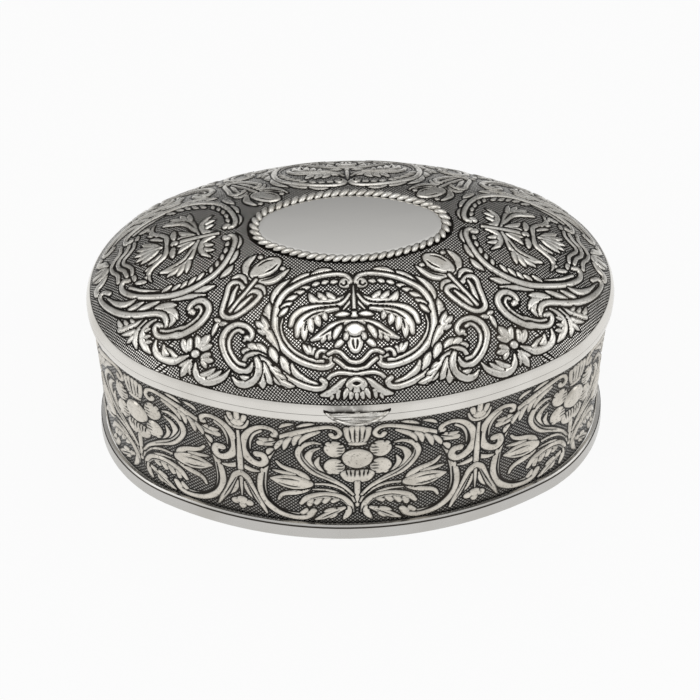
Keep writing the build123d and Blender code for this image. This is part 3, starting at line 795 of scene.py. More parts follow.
class Finish:
    """The nodes of one of the box's finishes, or of the light round it."""

    def __init__(self, owner):
        owner.use_nodes = True
        self.tree = owner.node_tree
        self.tree.nodes.clear()

    def node(self, kind, settings=(), inputs=(), output=0):
        """A node of a kind, with its settings and the values or links of its sockets."""
        made = self.tree.nodes.new(kind)
        for key, value in dict(settings).items():
            setattr(made, key, value)
        for key, value in dict(inputs).items():
            if isinstance(value, Value):
                self.tree.links.new(value.socket, made.inputs[key])
            else:
                made.inputs[key].default_value = value
        return Value(self, made.outputs[output])

    def mix(self, share, first, second):
        """Colour between two others."""
        sockets = {"Factor": share, 6: first, 7: second}
        return self.node("ShaderNodeMix", {"data_type": "RGBA"}, sockets, output=2)

    def place(self):
        """Place on the piece, in metres."""
        return self.node("ShaderNodeTexCoord", output="Object")

    def along(self, spot, axis):
        """One coordinate of a place, 0 to 2 for x to z."""
        return self.node("ShaderNodeSeparateXYZ", (), {0: spot}, output=axis)

    def chart(self):
        """Place on the laid-out surface, in millimetres."""
        spot = self.node("ShaderNodeUVMap", {"uv_map": CHART})
        return self.along(spot, 0) * CHART_SPAN, self.along(spot, 1) * CHART_SPAN

    def ray(self, kind):
        """1 for rays of a kind, and 0 for the others."""
        return self.node("ShaderNodeLightPath", output=f"Is {kind} Ray")

    def seen(self):
        """1 for rays that see, mirror or look through, and 0 for those that only light."""
        return self.ray("Camera").higher(self.ray("Glossy")).higher(self.ray("Transmission"))

    def noise(self, spot, scale, detail=2.0, roughness=0.5):
        """Smooth noise from 0 to 1, finer as the scale grows."""
        inputs = {"Vector": spot, "Scale": scale, "Detail": detail, "Roughness": roughness}
        return self.node("ShaderNodeTexNoise", (), inputs)

    def stretched(self, spot, factors, degrees=0):
        """A place scaled along each axis and turned about the upright one."""
        inputs = {"Vector": spot, "Scale": factors, "Rotation": (0, 0, math.radians(degrees))}
        return self.node("ShaderNodeMapping", (), inputs)

    def bump(self, height, reach, strength=1.0):
        """Normal of a surface with fine heights of this reach."""
        return self.node("ShaderNodeBump", (), {"Height": height, "Distance": reach, "Strength": strength})

    def surface(self, **sockets):
        """Ends the finish in a surface shader with the given sockets."""
        named = {key.replace("_", " ").title(): value for key, value in sockets.items()}
        self.end(self.node("ShaderNodeBsdfPrincipled", (), named))

    def end(self, shader, kind="Material"):
        """Joins the last shader to the output of a material or a world."""
        sink = self.tree.nodes.new("ShaderNodeOutput" + kind)
        self.tree.links.new(shader.socket, sink.inputs["Surface"])


def new_finish(name):
    """An empty finish of a new material."""
    return Finish(bpy.data.materials.new(name))


CHART = "UVMap"
CHART_SPAN = 200.0
DEPTH = "relief_depth"


def embossed_finish(name, silver, colours, ground_shine=0.0, hatch_step=0.5, streaks=0.0):
    """Silver with polished tops, blackened grooves and a ground of small diamonds."""
    finish = new_finish(name)
    depth = finish.node("ShaderNodeAttribute", {"attribute_name": DEPTH}, output="Fac")
    across, up = finish.chart()
    place = finish.place()
    top = depth.between(-0.1, 0.06)
    ground = 1 - depth.between(-0.62, -0.42)
    cream = finish.noise(place, 260, 2).between(0.35, 0.7)
    slant = hatch_step * math.sqrt(2)
    first = ((across + up) / slant).zigzag()
    second = ((across - up) / slant).zigzag()
    dots = first.lower(second).between(0.37, 0.49)
    wear = finish.noise(place, 900, 3).between(0.35, 0.7)
    stain = finish.noise(place, 110, 3).between(0.35, 0.75)
    scratch = finish.noise(finish.stretched(place, (260, 5200, 5200), 25), 1.0, 2)
    dark = finish.mix(stain, colours.recess, colours.tarnish)
    hatched = finish.mix(dots * ground * (0.75 + 0.25 * wear) * ground_shine, dark, colours.dots)
    bright = finish.mix(stain * 0.35 + cream * 0.35, silver, colours.worn)
    # Painted shade: the sloping edges of every motif are darkened towards the flank colour, standing in for
    # form shading.
    bright = finish.mix(depth.between(0.02, 0.28), colours.painted_flank_shade, bright)
    bright = finish.mix(finish.noise(place, 1400, 2).between(0.56, 0.72) * 0.5, bright, colours.tarnish)
    if streaks:
        lines = finish.noise(finish.stretched(place, (160, 1900, 1900)), 1.0, 3).between(0.42, 0.62)
        bright = finish.mix(lines * streaks, bright, colours.tarnish)
    colour = finish.mix(top, hatched, bright)
    rough = 0.4 - 0.15 * top + 0.08 * wear * top - 0.1 * dots * ground
    height = dots * ground * 0.8 + scratch * top * 0.05
    normal = finish.bump(height, 0.1 * MM)
    finish.surface(base_color=colour, metallic=1.0, roughness=rough, normal=normal)


def polished_finish(name, base, colours, seam=None, roughness=0.17):
    """Polished silver with fine rubbing marks and a faint tarnish, painted shade along a seam, and dirt over
    the catch.
    """
    finish = new_finish(name)
    place = finish.place()
    rub = finish.noise(finish.stretched(place, (90, 2600, 2600), 12), 1.0, 3)
    other_rub = finish.noise(finish.stretched(place, (2200, 120, 2200), -20), 1.0, 3)
    cloud = finish.noise(place, 60, 3).between(0.4, 0.8)
    colour = finish.mix(cloud * 0.3, base, colours.worn)
    if seam is not None:
        # Painted shade: a dark band of the tarnish colour along the seam, where the gap between the parts
        # lies in shade.
        away = (finish.along(place, 2) - seam * MM).math("ABSOLUTE")
        off_seam = away.between(SEAM_SHADE_FULL * MM, SEAM_SHADE_END * MM)
        colour = finish.mix(off_seam, colours.tarnish, colour)
        colour = finish.mix(smudge(finish, place), colour, colours.tarnish)
    rough = roughness + 0.09 * cloud + 0.05 * rub
    normal = finish.bump(rub + other_rub, 0.02 * MM, 0.5)
    finish.surface(base_color=colour, metallic=1.0, roughness=rough, normal=normal)


# Half widths, in millimetres, of the painted shade along a seam: full up to the first, gone past the second.
SEAM_SHADE_FULL = 0.14
SEAM_SHADE_END = 0.32


def smudge(finish, place):
    """Where dirt lies on the front of the rim, over the catch."""
    across, depth, height = (finish.along(place, axis) for axis in range(3))
    aside = (across - SMUDGE_ACROSS * MM).math("ABSOLUTE")
    beside = aside.between(SMUDGE_REACH * MM, (SMUDGE_REACH + SMUDGE_FADE) * MM)
    rest_on = height.between((SMUDGE_BOTTOM - SMUDGE_EDGE) * MM, SMUDGE_BOTTOM * MM)
    thinner = height.between(SMUDGE_BOTTOM * MM, (SMUDGE_BOTTOM + SMUDGE_HEIGHT) * MM)
    patchy = finish.noise(place, 520, 3).between(0.25, 0.5)
    in_front = 1 - depth.between(-SMUDGE_FRONT * MM, 0)
    return (1 - beside) * rest_on * (1 - thinner * SMUDGE_THIN_SHARE) * patchy * in_front


SMUDGE_ACROSS = -2.4
SMUDGE_REACH = 2.6
SMUDGE_FADE = 5
SMUDGE_BOTTOM = 52.3
SMUDGE_EDGE = 0.3
SMUDGE_HEIGHT = 1.4
SMUDGE_THIN_SHARE = 0.55
SMUDGE_FRONT = 20


def velvet_finish(name, colours):
    """Short pile velvet, with a soft sheen and brushed patches."""
    finish = new_finish(name)
    place = finish.place()
    pile = finish.noise(place, 2600, 2)
    brushed = finish.noise(place, 45, 3).between(0.35, 0.7)
    light = finish.mix(pile.between(0.3, 0.8), colours.velvet_deep, colours.velvet)
    colour = finish.mix(brushed * 0.5, light, colours.velvet_light)
    normal = finish.bump(pile, 0.15 * MM)
    finish.surface(base_color=colour, roughness=0.95, normal=normal, sheen_weight=0.6, sheen_roughness=0.35)


def felt_finish(name, colours):
    """Thin felt with short matted fibres."""
    finish = new_finish(name)
    place = finish.place()
    fibre = finish.noise(place, 1500, 4, 0.7)
    colour = finish.mix(fibre.between(0.3, 0.8), colours.felt, colours.felt_light)
    normal = finish.bump(fibre, 0.2 * MM)
    finish.surface(base_color=colour, roughness=1.0, normal=normal)


# Meshes

def deselect():
    """Leaves nothing selected, so that an operator acts only on what it makes."""
    bpy.ops.object.select_all(action="DESELECT")


def pick(piece):
    """Leaves only this piece selected, and makes it the active one."""
    deselect()
    piece.select_set(True)
    bpy.context.view_layer.objects.active = piece


def twin(piece):
    """A copy of a piece with its own mesh."""
    mate = piece.copy()
    mate.data = piece.data.copy()
    bpy.context.scene.collection.objects.link(mate)
    return mate


def name_piece(piece, name):
    """Gives a piece and its mesh one name."""
    piece.name = piece.data.name = name


def new_grid(name, columns, rows):
    """A flat grid and the shares of its vertices, across and up."""
    deselect()
    bpy.ops.mesh.primitive_grid_add(x_subdivisions=columns, y_subdivisions=rows, size=1)
    piece = bpy.context.object
    name_piece(piece, name)
    shares = mesh_points(piece)[:, :2] + 0.5
    return piece, shares[:, 0], shares[:, 1]


def mesh_points(piece):
    """Places of all the vertices."""
    spots = np.empty(len(piece.data.vertices) * 3)
    piece.data.vertices.foreach_get("co", spots)
    return spots.reshape(-1, 3)


def points_of(piece):
    """Places of all the vertices, in millimetres."""
    return mesh_points(piece) / MM


def set_points(piece, points):
    """Gives every vertex its place, from millimetres."""
    piece.data.vertices.foreach_set("co", (points * MM).ravel())
    piece.data.update()


def normals_of(piece):
    """Normals of all the vertices."""
    normals = np.empty(len(piece.data.vertices) * 3)
    piece.data.vertex_normals.foreach_get("vector", normals)
    return normals.reshape(-1, 3)


def set_chart(piece, across, up):
    """Stores the laid-out place of every vertex as the piece's map."""
    corners = np.empty(len(piece.data.loops), int)
    piece.data.loops.foreach_get("vertex_index", corners)
    spots = np.column_stack([across, up])[corners] / CHART_SPAN
    piece.data.uv_layers[CHART].data.foreach_set("uv", spots.ravel())


def set_depth(piece, depth):
    """Stores how far inside a motif every vertex lies."""
    values = piece.data.attributes.new(DEPTH, "FLOAT", "POINT")
    values.data.foreach_set("value", depth)


def smooth(piece):
    """Smooth shading all over a piece."""
    pick(piece)
    bpy.ops.object.shade_smooth()


def on_body(piece, body, material, slot, *stands_for):
    """Gives a piece its finish and its body, and hides the solids that it stands for."""
    piece.data.materials.clear()
    piece.data.materials.append(material)
    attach(piece, body)
    if stands_for:
        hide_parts(*stands_for)
    return piece


def cut_away(piece, low, high):
    """Cuts a box-shaped notch out of a piece."""
    deselect()
    middle, size = (low + high) / 2, high - low
    bpy.ops.mesh.primitive_cube_add(size=1, location=middle * MM, scale=size * MM)
    notch = bpy.context.object
    step = piece.modifiers.new("notch", "BOOLEAN")
    step.operation, step.object, step.solver = "DIFFERENCE", notch, "EXACT"
    with bpy.context.temp_override(object=piece, active_object=piece, selected_objects=[piece]):
        bpy.ops.object.modifier_apply(modifier=step.name)
    bpy.data.objects.remove(notch)


def ring_shell(name, rings, turns=160):
    """A surface through level ovals, each given by its half sizes and height."""
    rows = len(rings)
    piece, around, along = new_grid(name, turns, rows - 1)
    row = np.rint(along * (rows - 1)).astype(int)
    quarter = (around * 4) % 4
    side = np.floor(quarter).astype(int) % 4
    share = quarter - np.floor(quarter)
    points = np.empty((len(around), 3))
    for index in range(rows):
        here = row == index
        long_half, short_half, height = rings[index]
        folded = np.where(side[here] % 2 == 0, share[here], 1 - share[here])
        turn = even_turns(folded, long_half, short_half)
        x, y = oval_point(turn, long_half, short_half)
        sign_x = np.where((side[here] == 0) | (side[here] == 3), 1, -1)
        sign_y = np.where(side[here] < 2, 1, -1)
        points[here] = np.column_stack([x * sign_x, y * sign_y, np.full(x.shape, height)])
    set_points(piece, points)
    return piece


WELD_REACH = 0.002


def weld(piece):
    """Merges doubled vertices and turns all the faces outwards."""
    pick(piece)
    bpy.ops.object.mode_set(mode="EDIT")
    bpy.ops.mesh.select_all(action="SELECT")
    bpy.ops.mesh.remove_doubles(threshold=WELD_REACH * MM)
    bpy.ops.mesh.normals_make_consistent(inside=False)
    bpy.ops.object.mode_set(mode="OBJECT")


# Sizes and colours that a user would change

class BoxSizes(bpy.types.PropertyGroup):
    """Sizes of the relief and its carriers."""

    ground_sink: FloatProperty(
        name="Ground depth", description="How far the hatched ground lies below the solid's face",
        default=0.35 * MM, unit="LENGTH")
    rim_width: FloatProperty(
        name="Rim width", description="Height of the smooth rim of the lid along its curve",
        default=3.1 * MM, unit="LENGTH")
    lid_columns: IntProperty(
        name="Lid columns", description="Faces along a quarter of the lid", default=300)
    lid_rows: IntProperty(
        name="Lid rows", description="Faces from the rim to the rope border", default=195)
    wall_columns: IntProperty(
        name="Wall columns", description="Faces along one panel of the wall", default=260)
    wall_rows: IntProperty(
        name="Wall rows", description="Faces up the wall", default=170)


def shade(name, description, *levels):
    """A colour that a user can set, from its red, green and blue."""
    return FloatVectorProperty(
        name=name, description=description, subtype="COLOR", size=4, default=(*levels, 1))


class BoxColours(bpy.types.PropertyGroup):
    """Colours of the silver, velvet and felt."""

    silver: shade("Silver", "Polished tops of the relief", 0.72, 0.705, 0.665)
    dots: shade("Ground diamonds", "Raised diamonds of the hatched ground", 0.84, 0.82, 0.775)
    aged: shade("Aged silver", "Warmer tops of the wall's relief", 0.70, 0.66, 0.59)
    polished: shade("Polished silver", "Rim, bead, plate and hinge", 0.73, 0.71, 0.67)
    # The foot's colour is darker than the polished silver as painted shade, standing in for the shaded floor
    # that the foot reflects.
    shaded_foot_silver: shade("Dull silver", "Foot, less polished than the rim", 0.53, 0.52, 0.50)
    # The flank colour is painted shade on the sloping edges of the motifs.
    painted_flank_shade: shade("Flank", "Duller silver at the edges of the motifs", 0.46, 0.44, 0.40)
    worn: shade("Worn silver", "Faint warm tarnish on bright silver", 0.42, 0.39, 0.34)
    # The recess colour is also part of the painted shade in the crease at the catch's root.
    recess: shade("Recess", "Blackened grooves", 0.012, 0.011, 0.010)
    # The tarnish colour is also the painted shade along the seams of the rim and foot, and part of the
    # painted shade at the catch's root.
    tarnish: shade("Tarnish", "Lighter places of the blackened ground", 0.032, 0.027, 0.022)
    velvet: shade("Velvet", "Velvet of the linings", 0.2, 0.015, 0.03)
    velvet_deep: shade("Velvet pile", "Between the velvet's fibres", 0.09, 0.006, 0.014)
    velvet_light: shade("Brushed velvet", "Velvet brushed the other way", 0.28, 0.03, 0.05)
    felt: shade("Felt", "Felt under the base", 0.03, 0.03, 0.035)
    felt_light: shade("Felt fibres", "Loose fibres of the felt", 0.06, 0.06, 0.066)


def sizes():
    """Sizes that a user may have changed."""
    return bpy.context.scene.oval_box_sizes


def colours():
    """Colours that a user may have changed."""
    return bpy.context.scene.oval_box_colours


def finish_named(name):
    """The material of that name."""
    return bpy.data.materials[name]


# Operators

class PieceOperator:
    """What all the operators of the box share."""

    bl_options = {"REGISTER", "UNDO"}


class OVALBOX_OT_stage(PieceOperator, bpy.types.Operator):
    """Pale floor, soft lamps and the camera at the photograph's angle"""

    bl_idname = "ovalbox.stage"
    bl_label = "Stage"

    def execute(self, context):
        scene = context.scene
        scene.view_settings.view_transform = "Standard"
        add_floor()
        add_world(scene)
        for name, spot, size, power in LAMPS:
            add_lamp(name, spot, size, power)
        scene.camera = add_camera()
        return {"FINISHED"}


FLOOR_SIZE = 8.0
LAMPS = (
    ("overhead", (0.0, -0.25, 0.9), 0.7, 1.9),
    ("left", (-0.95, -0.35, 0.5), 0.6, 1.1),
    ("right", (0.95, -0.15, 0.45), 0.6, 1.0),
)
LAMP_AIM = Vector((0, 0, 0.035))

FOCAL_PIXELS = 1700
PHOTO_PIXELS = 700
CAMERA_SENSOR = 36
CAMERA_FOCAL = FOCAL_PIXELS / PHOTO_PIXELS * CAMERA_SENSOR
CAMERA_ELEVATION = 45.95
CAMERA_AZIMUTH = -1.75
CAMERA_ROLL = -0.37
CAMERA_TARGET = Vector((-0.30, 0, 24.63)) * MM
CAMERA_DISTANCE = 503.28 * MM


def add_floor():
    """White floor that shows a faint shadow of the box."""
    deselect()
    bpy.ops.mesh.primitive_plane_add(size=FLOOR_SIZE)
    floor = bpy.context.object
    floor.name = "floor"
    paper = bpy.data.materials.new("floor_paper")
    finish = Finish(paper)
    share = finish.seen() * FLOOR_WHITE_SHARE
    matt = finish.node("ShaderNodeBsdfDiffuse", (), {"Color": FLOOR_PAPER})
    white = finish.node("ShaderNodeEmission", (), {"Color": WHITE, "Strength": 1.0})
    finish.end(finish.node("ShaderNodeMixShader", (), {0: share, 1: matt, 2: white}))
    floor.data.materials.append(paper)


WHITE = (1, 1, 1, 1)
FLOOR_PAPER = (0.82, 0.82, 0.82, 1)
FLOOR_WHITE_SHARE = 0.91
WORLD_LIGHT = 0.6
WORLD_MIDDLE = 0.578
WORLD_SLOPE = 0.472
WORLD_BRIGHTEST = 0.79
WORLD_DARKEST = 0.16


def add_world(scene):
    """Bright in front and overhead, darker low behind, and a lower plain light for everything else."""
    scene.world = bpy.data.worlds.new("studio")
    finish = Finish(scene.world)
    toward = finish.node("ShaderNodeTexCoord", output="Generated")
    surround = (finish.along(toward, 2) - finish.along(toward, 1)) * WORLD_SLOPE + WORLD_MIDDLE
    strength = surround.lower(WORLD_BRIGHTEST).higher(WORLD_DARKEST).higher(finish.ray("Camera"))
    bright = finish.node("ShaderNodeBackground", (), {"Color": WHITE, "Strength": strength})
    plain = finish.node("ShaderNodeBackground", (), {"Color": WHITE, "Strength": WORLD_LIGHT})
    finish.end(finish.node("ShaderNodeMixShader", (), {0: finish.seen(), 1: plain, 2: bright}), "World")


def add_lamp(name, spot, size, power):
    """A soft square lamp that faces the box."""
    lamp = bpy.data.lights.new(name, "AREA")
    lamp.energy, lamp.size = power, size
    holder = bpy.data.objects.new(name, lamp)
    holder.location = spot
    holder.rotation_mode = "QUATERNION"
    holder.rotation_quaternion = (LAMP_AIM - Vector(spot)).to_track_quat("-Z", "Y")
    bpy.context.scene.collection.objects.link(holder)


def add_camera():
    """Camera at the photograph's viewing angle."""
    azimuth, elevation = math.radians(CAMERA_AZIMUTH), math.radians(CAMERA_ELEVATION)
    level = math.cos(elevation)
    back = Vector((math.sin(azimuth) * level, -math.cos(azimuth) * level, math.sin(elevation)))
    right = (-back).cross(Vector((0, 0, 1))).normalized()
    up = right.cross(-back)
    roll = math.radians(CAMERA_ROLL)
    image_right = math.cos(roll) * right + math.sin(roll) * up
    image_up = math.cos(roll) * up - math.sin(roll) * right
    lens = bpy.data.cameras.new("camera")
    lens.sensor_width, lens.lens = CAMERA_SENSOR, CAMERA_FOCAL
    lens.clip_start, lens.clip_end = 0.01, 20
    camera = bpy.data.objects.new("camera", lens)
    camera.matrix_world = Matrix((image_right, image_up, back)).transposed().to_4x4()
    camera.location = CAMERA_TARGET + back * CAMERA_DISTANCE
    bpy.context.scene.collection.objects.link(camera)
    return camera


class OVALBOX_OT_finishes(PieceOperator, bpy.types.Operator):
    """Silver, velvet and felt finishes, and the silver of the solids that stay"""

    bl_idname = "ovalbox.finishes"
    bl_label = "Finishes"

    def execute(self, context):
        shades = colours()
        embossed_finish("lid_silver", shades.silver, shades, LID_GROUND_SHINE, LID_HATCH_STEP)
        embossed_finish("wall_silver", shades.aged, shades, WALL_GROUND_SHINE, WALL_HATCH_STEP)
        embossed_finish("catch_silver", shades.silver, shades, streaks=CATCH_STREAKS)
        embossed_finish("rope_silver", shades.silver, shades)
        polished_finish("polished_silver", shades.polished, shades)
        polished_finish("rim_silver", shades.polished, shades, SEAM_HEIGHT)
        # The foot gets the darker foot colour, painted shade for the shaded floor that it reflects, and a
        # band of painted shade below its top.
        polished_finish("foot_silver", shades.shaded_foot_silver, shades, FOOT_TOP - FOOT_SEAM_DROP, FOOT_ROUGHNESS)
        velvet_finish("velvet", shades)
        felt_finish("felt", shades)
        for name, finish in SOLID_FINISHES:
            node = nodes[name]
            node.data.materials.clear()
            node.data.materials.append(finish_named(finish))
            smooth_by_angle(node)
        return {"FINISHED"}


LID_GROUND_SHINE = 1.0
LID_HATCH_STEP = 0.72
WALL_GROUND_SHINE = 0.4
WALL_HATCH_STEP = 0.92
CATCH_STREAKS = 0.75
SEAM_HEIGHT = 51.12
FOOT_SEAM_DROP = 0.62
FOOT_ROUGHNESS = 0.22
SOLID_FINISHES = (
    ("body_rim_moulding", "rim_silver"),
    ("foot_moulding", "foot_silver"),
    ("base_plate", "polished_silver"),
    ("hinge_body_leaf", "polished_silver"),
    ("hinge_pin", "polished_silver"),
    ("hinge_lid_leaf", "polished_silver"),
)


def smooth_by_angle(piece, degrees=32):
    """Smooth shading with crisp edges where faces meet at more than the angle."""
    pick(piece)
    bpy.ops.object.shade_smooth_by_angle(angle=math.radians(degrees))


def lid_relief_edge():
    """Inward share of the ring at which the smooth rim ends."""
    inward, _, short_chart = chart_table()
    run = short_chart[0] - short_chart
    return np.interp(sizes().rim_width / MM, run, inward)


ROPE_INNER = 0.2
ROPE_BED = 2.75
RIM_FADE = 1.2
RIM_RISE_SHARE = 0.6
RIM_LINE = 0.4
GROOVE_DEPTH = -0.2
QUARTERS = (("lid_relief_front_left", (-1, 1, 1)), ("lid_relief_back_right", (1, -1, 1)),
            ("lid_relief_back_left", (-1, -1, 1)))


class OVALBOX_OT_lid_relief(PieceOperator, bpy.types.Operator):
    """Embossed skin of the lid, in four mirrored quarters"""

    bl_idname = "ovalbox.lid_relief"
    bl_label = "Lid relief"

    def execute(self, context):
        size = sizes()
        inward, long_chart, short_chart = chart_table()
        quarter, across, along = new_grid("lid_relief_front_right", size.lid_columns, size.lid_rows)
        start = np.interp(lid_relief_edge(), inward, short_chart)
        stop = PLATE_WIDTH / 2 + ROPE_INNER
        ring_chart = start + along * (stop - start)
        ring = np.interp(-ring_chart, -short_chart, inward)
        middle = np.interp(0.5 * (start + stop), short_chart[::-1], long_chart[::-1])
        turn = -even_turns(1 - across, middle, 0.5 * (start + stop))
        long_half, short_half, height = dome_ring(ring)
        x, y = oval_point(turn, long_half, short_half)
        chart_x, chart_y = oval_point(turn, np.interp(ring, inward, long_chart), ring_chart)
        set_points(quarter, np.column_stack([x, y, height]))
        relief = paint(Relief(chart_x, chart_y), LID_PARTS)
        out = normals_of(quarter)
        out[x < TINY, 0] = 0
        out[y > -TINY, 1] = 0
        edge = start - ring_chart
        rim = np.clip(1 - edge / RIM_FADE, 0, 1)
        lift = relief.height - size.ground_sink / MM * (1 - RIM_RISE_SHARE * rim)
        set_points(quarter, np.column_stack([x, y, height]) + out * lift[:, None])
        under_rope = ring_chart < PLATE_WIDTH / 2 + ROPE_BED
        dark_line = (edge < RIM_LINE) | under_rope
        ground = np.where(dark_line, GROOVE_DEPTH, np.minimum(relief.depth, GROOVE_DEPTH))
        set_depth(quarter, np.where((relief.depth < 0) | under_rope, ground, relief.depth))
        set_chart(quarter, chart_x, chart_y)
        quarter.data.shade_smooth()
        normals = normals_of(quarter)
        normals[x < TINY, 0] = 0
        normals[y > -TINY, 1] = 0
        pieces = [quarter]
        for name, sides in QUARTERS:
            mate = twin(quarter)
            name_piece(mate, name)
            mate.data.transform(Matrix.Diagonal((*sides, 1)))
            if sides[0] * sides[1] < 0:
                mate.data.flip_normals()
            mate.data.normals_split_custom_set_from_vertices(normals * sides)
            pieces.append(mate)
        quarter.data.normals_split_custom_set_from_vertices(normals)
        for piece in pieces:
            on_body(piece, "lid", finish_named("lid_silver"), "embossed_silver")
        return {"FINISHED"}


SKIN_GAP = 0.75
SKIN_START_SHARE = 0.001
RIM_RINGS = 14
TOP_RINGS = 30
UNDER_RINGS = 24
UNDER_POWER = 1.6
POLE = (0.5, 0.25)
LID_NOTCH = Vector((-12.2, 45.2, 50.0)), Vector((12.2, 54.0, 52.95))
WALL_NOTCH = Vector((-12.2, 47.4, 49.3)), Vector((12.2, 54.0, 52.0))


class OVALBOX_OT_lid_sheet(PieceOperator, bpy.types.Operator):
    """Sheet of the lid below its relief, with the smooth rim"""

    bl_idname = "ovalbox.lid_sheet"
    bl_label = "Lid sheet"

    def execute(self, context):
        edge = lid_relief_edge()
        rim = [(step / RIM_RINGS) ** 2 * edge for step in range(RIM_RINGS + 1)]
        top = [edge + (1 - edge) * (SKIN_START_SHARE + step / TOP_RINGS) for step in range(TOP_RINGS)]
        skin = [dome_ring(share) for share in rim] + [dome_ring(share, SKIN_GAP, SKIN_GAP) for share in top]
        under = [(step / UNDER_RINGS) ** UNDER_POWER for step in range(UNDER_RINGS + 1)]
        below = [dome_ring(share, SHEET, SHEET) for share in under]
        piece = ring_shell("lid_sheet", [(*POLE, skin[-1][2]), *skin[::-1], *below, (*POLE, below[-1][2])])
        weld(piece)
        close_ends(piece)
        cut_away(piece, *LID_NOTCH)
        on_body(piece, "lid", finish_named("rim_silver"), "embossed_silver", "lid_shell")
        smooth_by_angle(piece, 40)
        return {"FINISHED"}


def close_ends(piece):
    """Closes the small holes at the two poles."""
    pick(piece)
    bpy.ops.object.mode_set(mode="EDIT")
    bpy.ops.mesh.select_all(action="DESELECT")
    bpy.ops.mesh.select_non_manifold(extend=False)
    bpy.ops.mesh.fill_holes(sides=0)
    bpy.ops.mesh.select_all(action="SELECT")
    bpy.ops.mesh.normals_make_consistent(inside=False)
    bpy.ops.object.mode_set(mode="OBJECT")


class OVALBOX_OT_lid_plate(PieceOperator, bpy.types.Operator):
    """Polished oval plate and the rope border round it"""

    bl_idname = "ovalbox.lid_plate"
    bl_label = "Plate and rope border"

    def execute(self, context):
        rings = [(PLATE_LENGTH / 2 + out, PLATE_WIDTH / 2 + out, LID_TOP - down) for out, down in PLATE_SKIRT]
        for share in PLATE_SHARES:
            level = LID_TOP + PLATE_CROWN * (1 - share**2)
            rings.append((PLATE_LENGTH / 2 * share, PLATE_WIDTH / 2 * share, level))
        plate = ring_shell("lid_plate", rings, turns=120)
        weld(plate)
        close_ends(plate)
        on_body(plate, "lid", finish_named("polished_silver"), "polished_silver")
        smooth_by_angle(plate, 40)
        rope = rope_border()
        on_body(rope, "lid", finish_named("rope_silver"), "polished_silver")
        return {"FINISHED"}


PLATE_CROWN = 0.55
PLATE_SKIRT = ((0.25, 1.2), (0.15, 0.1))
PLATE_SHARES = (0.985, 0.95, 0.9, 0.8, 0.65, 0.5, 0.35, 0.2, 0.08)
ROPE_STRANDS = 54
STRAND_LONG, STRAND_WIDE, STRAND_HIGH = 3.9, 1.85, 2.1
STRAND_TURN = 40
STRAND_BRIGHT = 0.3


def rope_border():
    """Slanted strands laid along the oval round the plate."""
    long_half = PLATE_LENGTH / 2 + ROPE_GAP + ROPE_RADIUS
    short_half = PLATE_WIDTH / 2 + ROPE_GAP + ROPE_RADIUS
    deselect()
    bpy.ops.mesh.primitive_uv_sphere_add(segments=16, ring_count=10, radius=0.5)
    strand = bpy.context.object
    size = Vector((STRAND_LONG, STRAND_WIDE, STRAND_HIGH)) * MM
    slanted = Matrix.Rotation(math.radians(STRAND_TURN), 4, "Z")
    strand.data.transform(slanted @ Matrix.Diagonal((*size, 1)) @ Matrix.Rotation(QUARTER, 4, "Y"))
    set_depth(strand, points_of(strand)[:, 2] - STRAND_BRIGHT)
    level = (LID_TOP - ROPE_SUNK) * MM
    copies = []
    for index in range(ROPE_STRANDS):
        along = 4 * index / ROPE_STRANDS
        side, share = int(along), along - int(along)
        share = share if side % 2 == 0 else 1 - share
        turn = float(even_turns(np.array(share), long_half, short_half))
        turn = (turn, math.pi - turn, math.pi + turn, -turn)[side]
        x, y = oval_point(turn, long_half, short_half)
        mate = twin(strand)
        placed = Matrix.Translation((x * MM, y * MM, level))
        mate.data.transform(placed @ Matrix.Rotation(turn + QUARTER, 4, "Z"))
        copies.append(mate)
    bpy.data.objects.remove(strand)
    deselect()
    for mate in copies:
        mate.select_set(True)
    bpy.context.view_layer.objects.active = copies[0]
    bpy.ops.object.join()
    rope = bpy.context.object
    name_piece(rope, "lid_rope_border")
    smooth(rope)
    return rope


PANELS = 6
WALL_LAP = 0.5
WALL_LEVELS = 13
WALL_STRETCH = ((0, 33, 100, 199), (0, 1.2, 1.2, 0))


def outline_length():
    """Length of the outline all round."""
    end, side, switch = oval_arcs(HALF_LENGTH, HALF_WIDTH)
    return 4 * (end * switch + side * (QUARTER - switch))


def outline_place(run):
    """Point and outward normal of the outline, at a run to the right from the front middle."""
    quarter = outline_length() / 4
    whole = run / quarter
    side = np.where(whole < 0, -1, 1)
    past_end = abs(whole) - 1
    turn = np.sign(past_end) * even_turns(abs(past_end), HALF_LENGTH, HALF_WIDTH)
    x, y = oval_point(turn, HALF_LENGTH, HALF_WIDTH)
    x = np.where(np.sign(turn) == 0, HALF_LENGTH, x)
    return side * x, y, side * np.cos(turn), np.sin(turn)


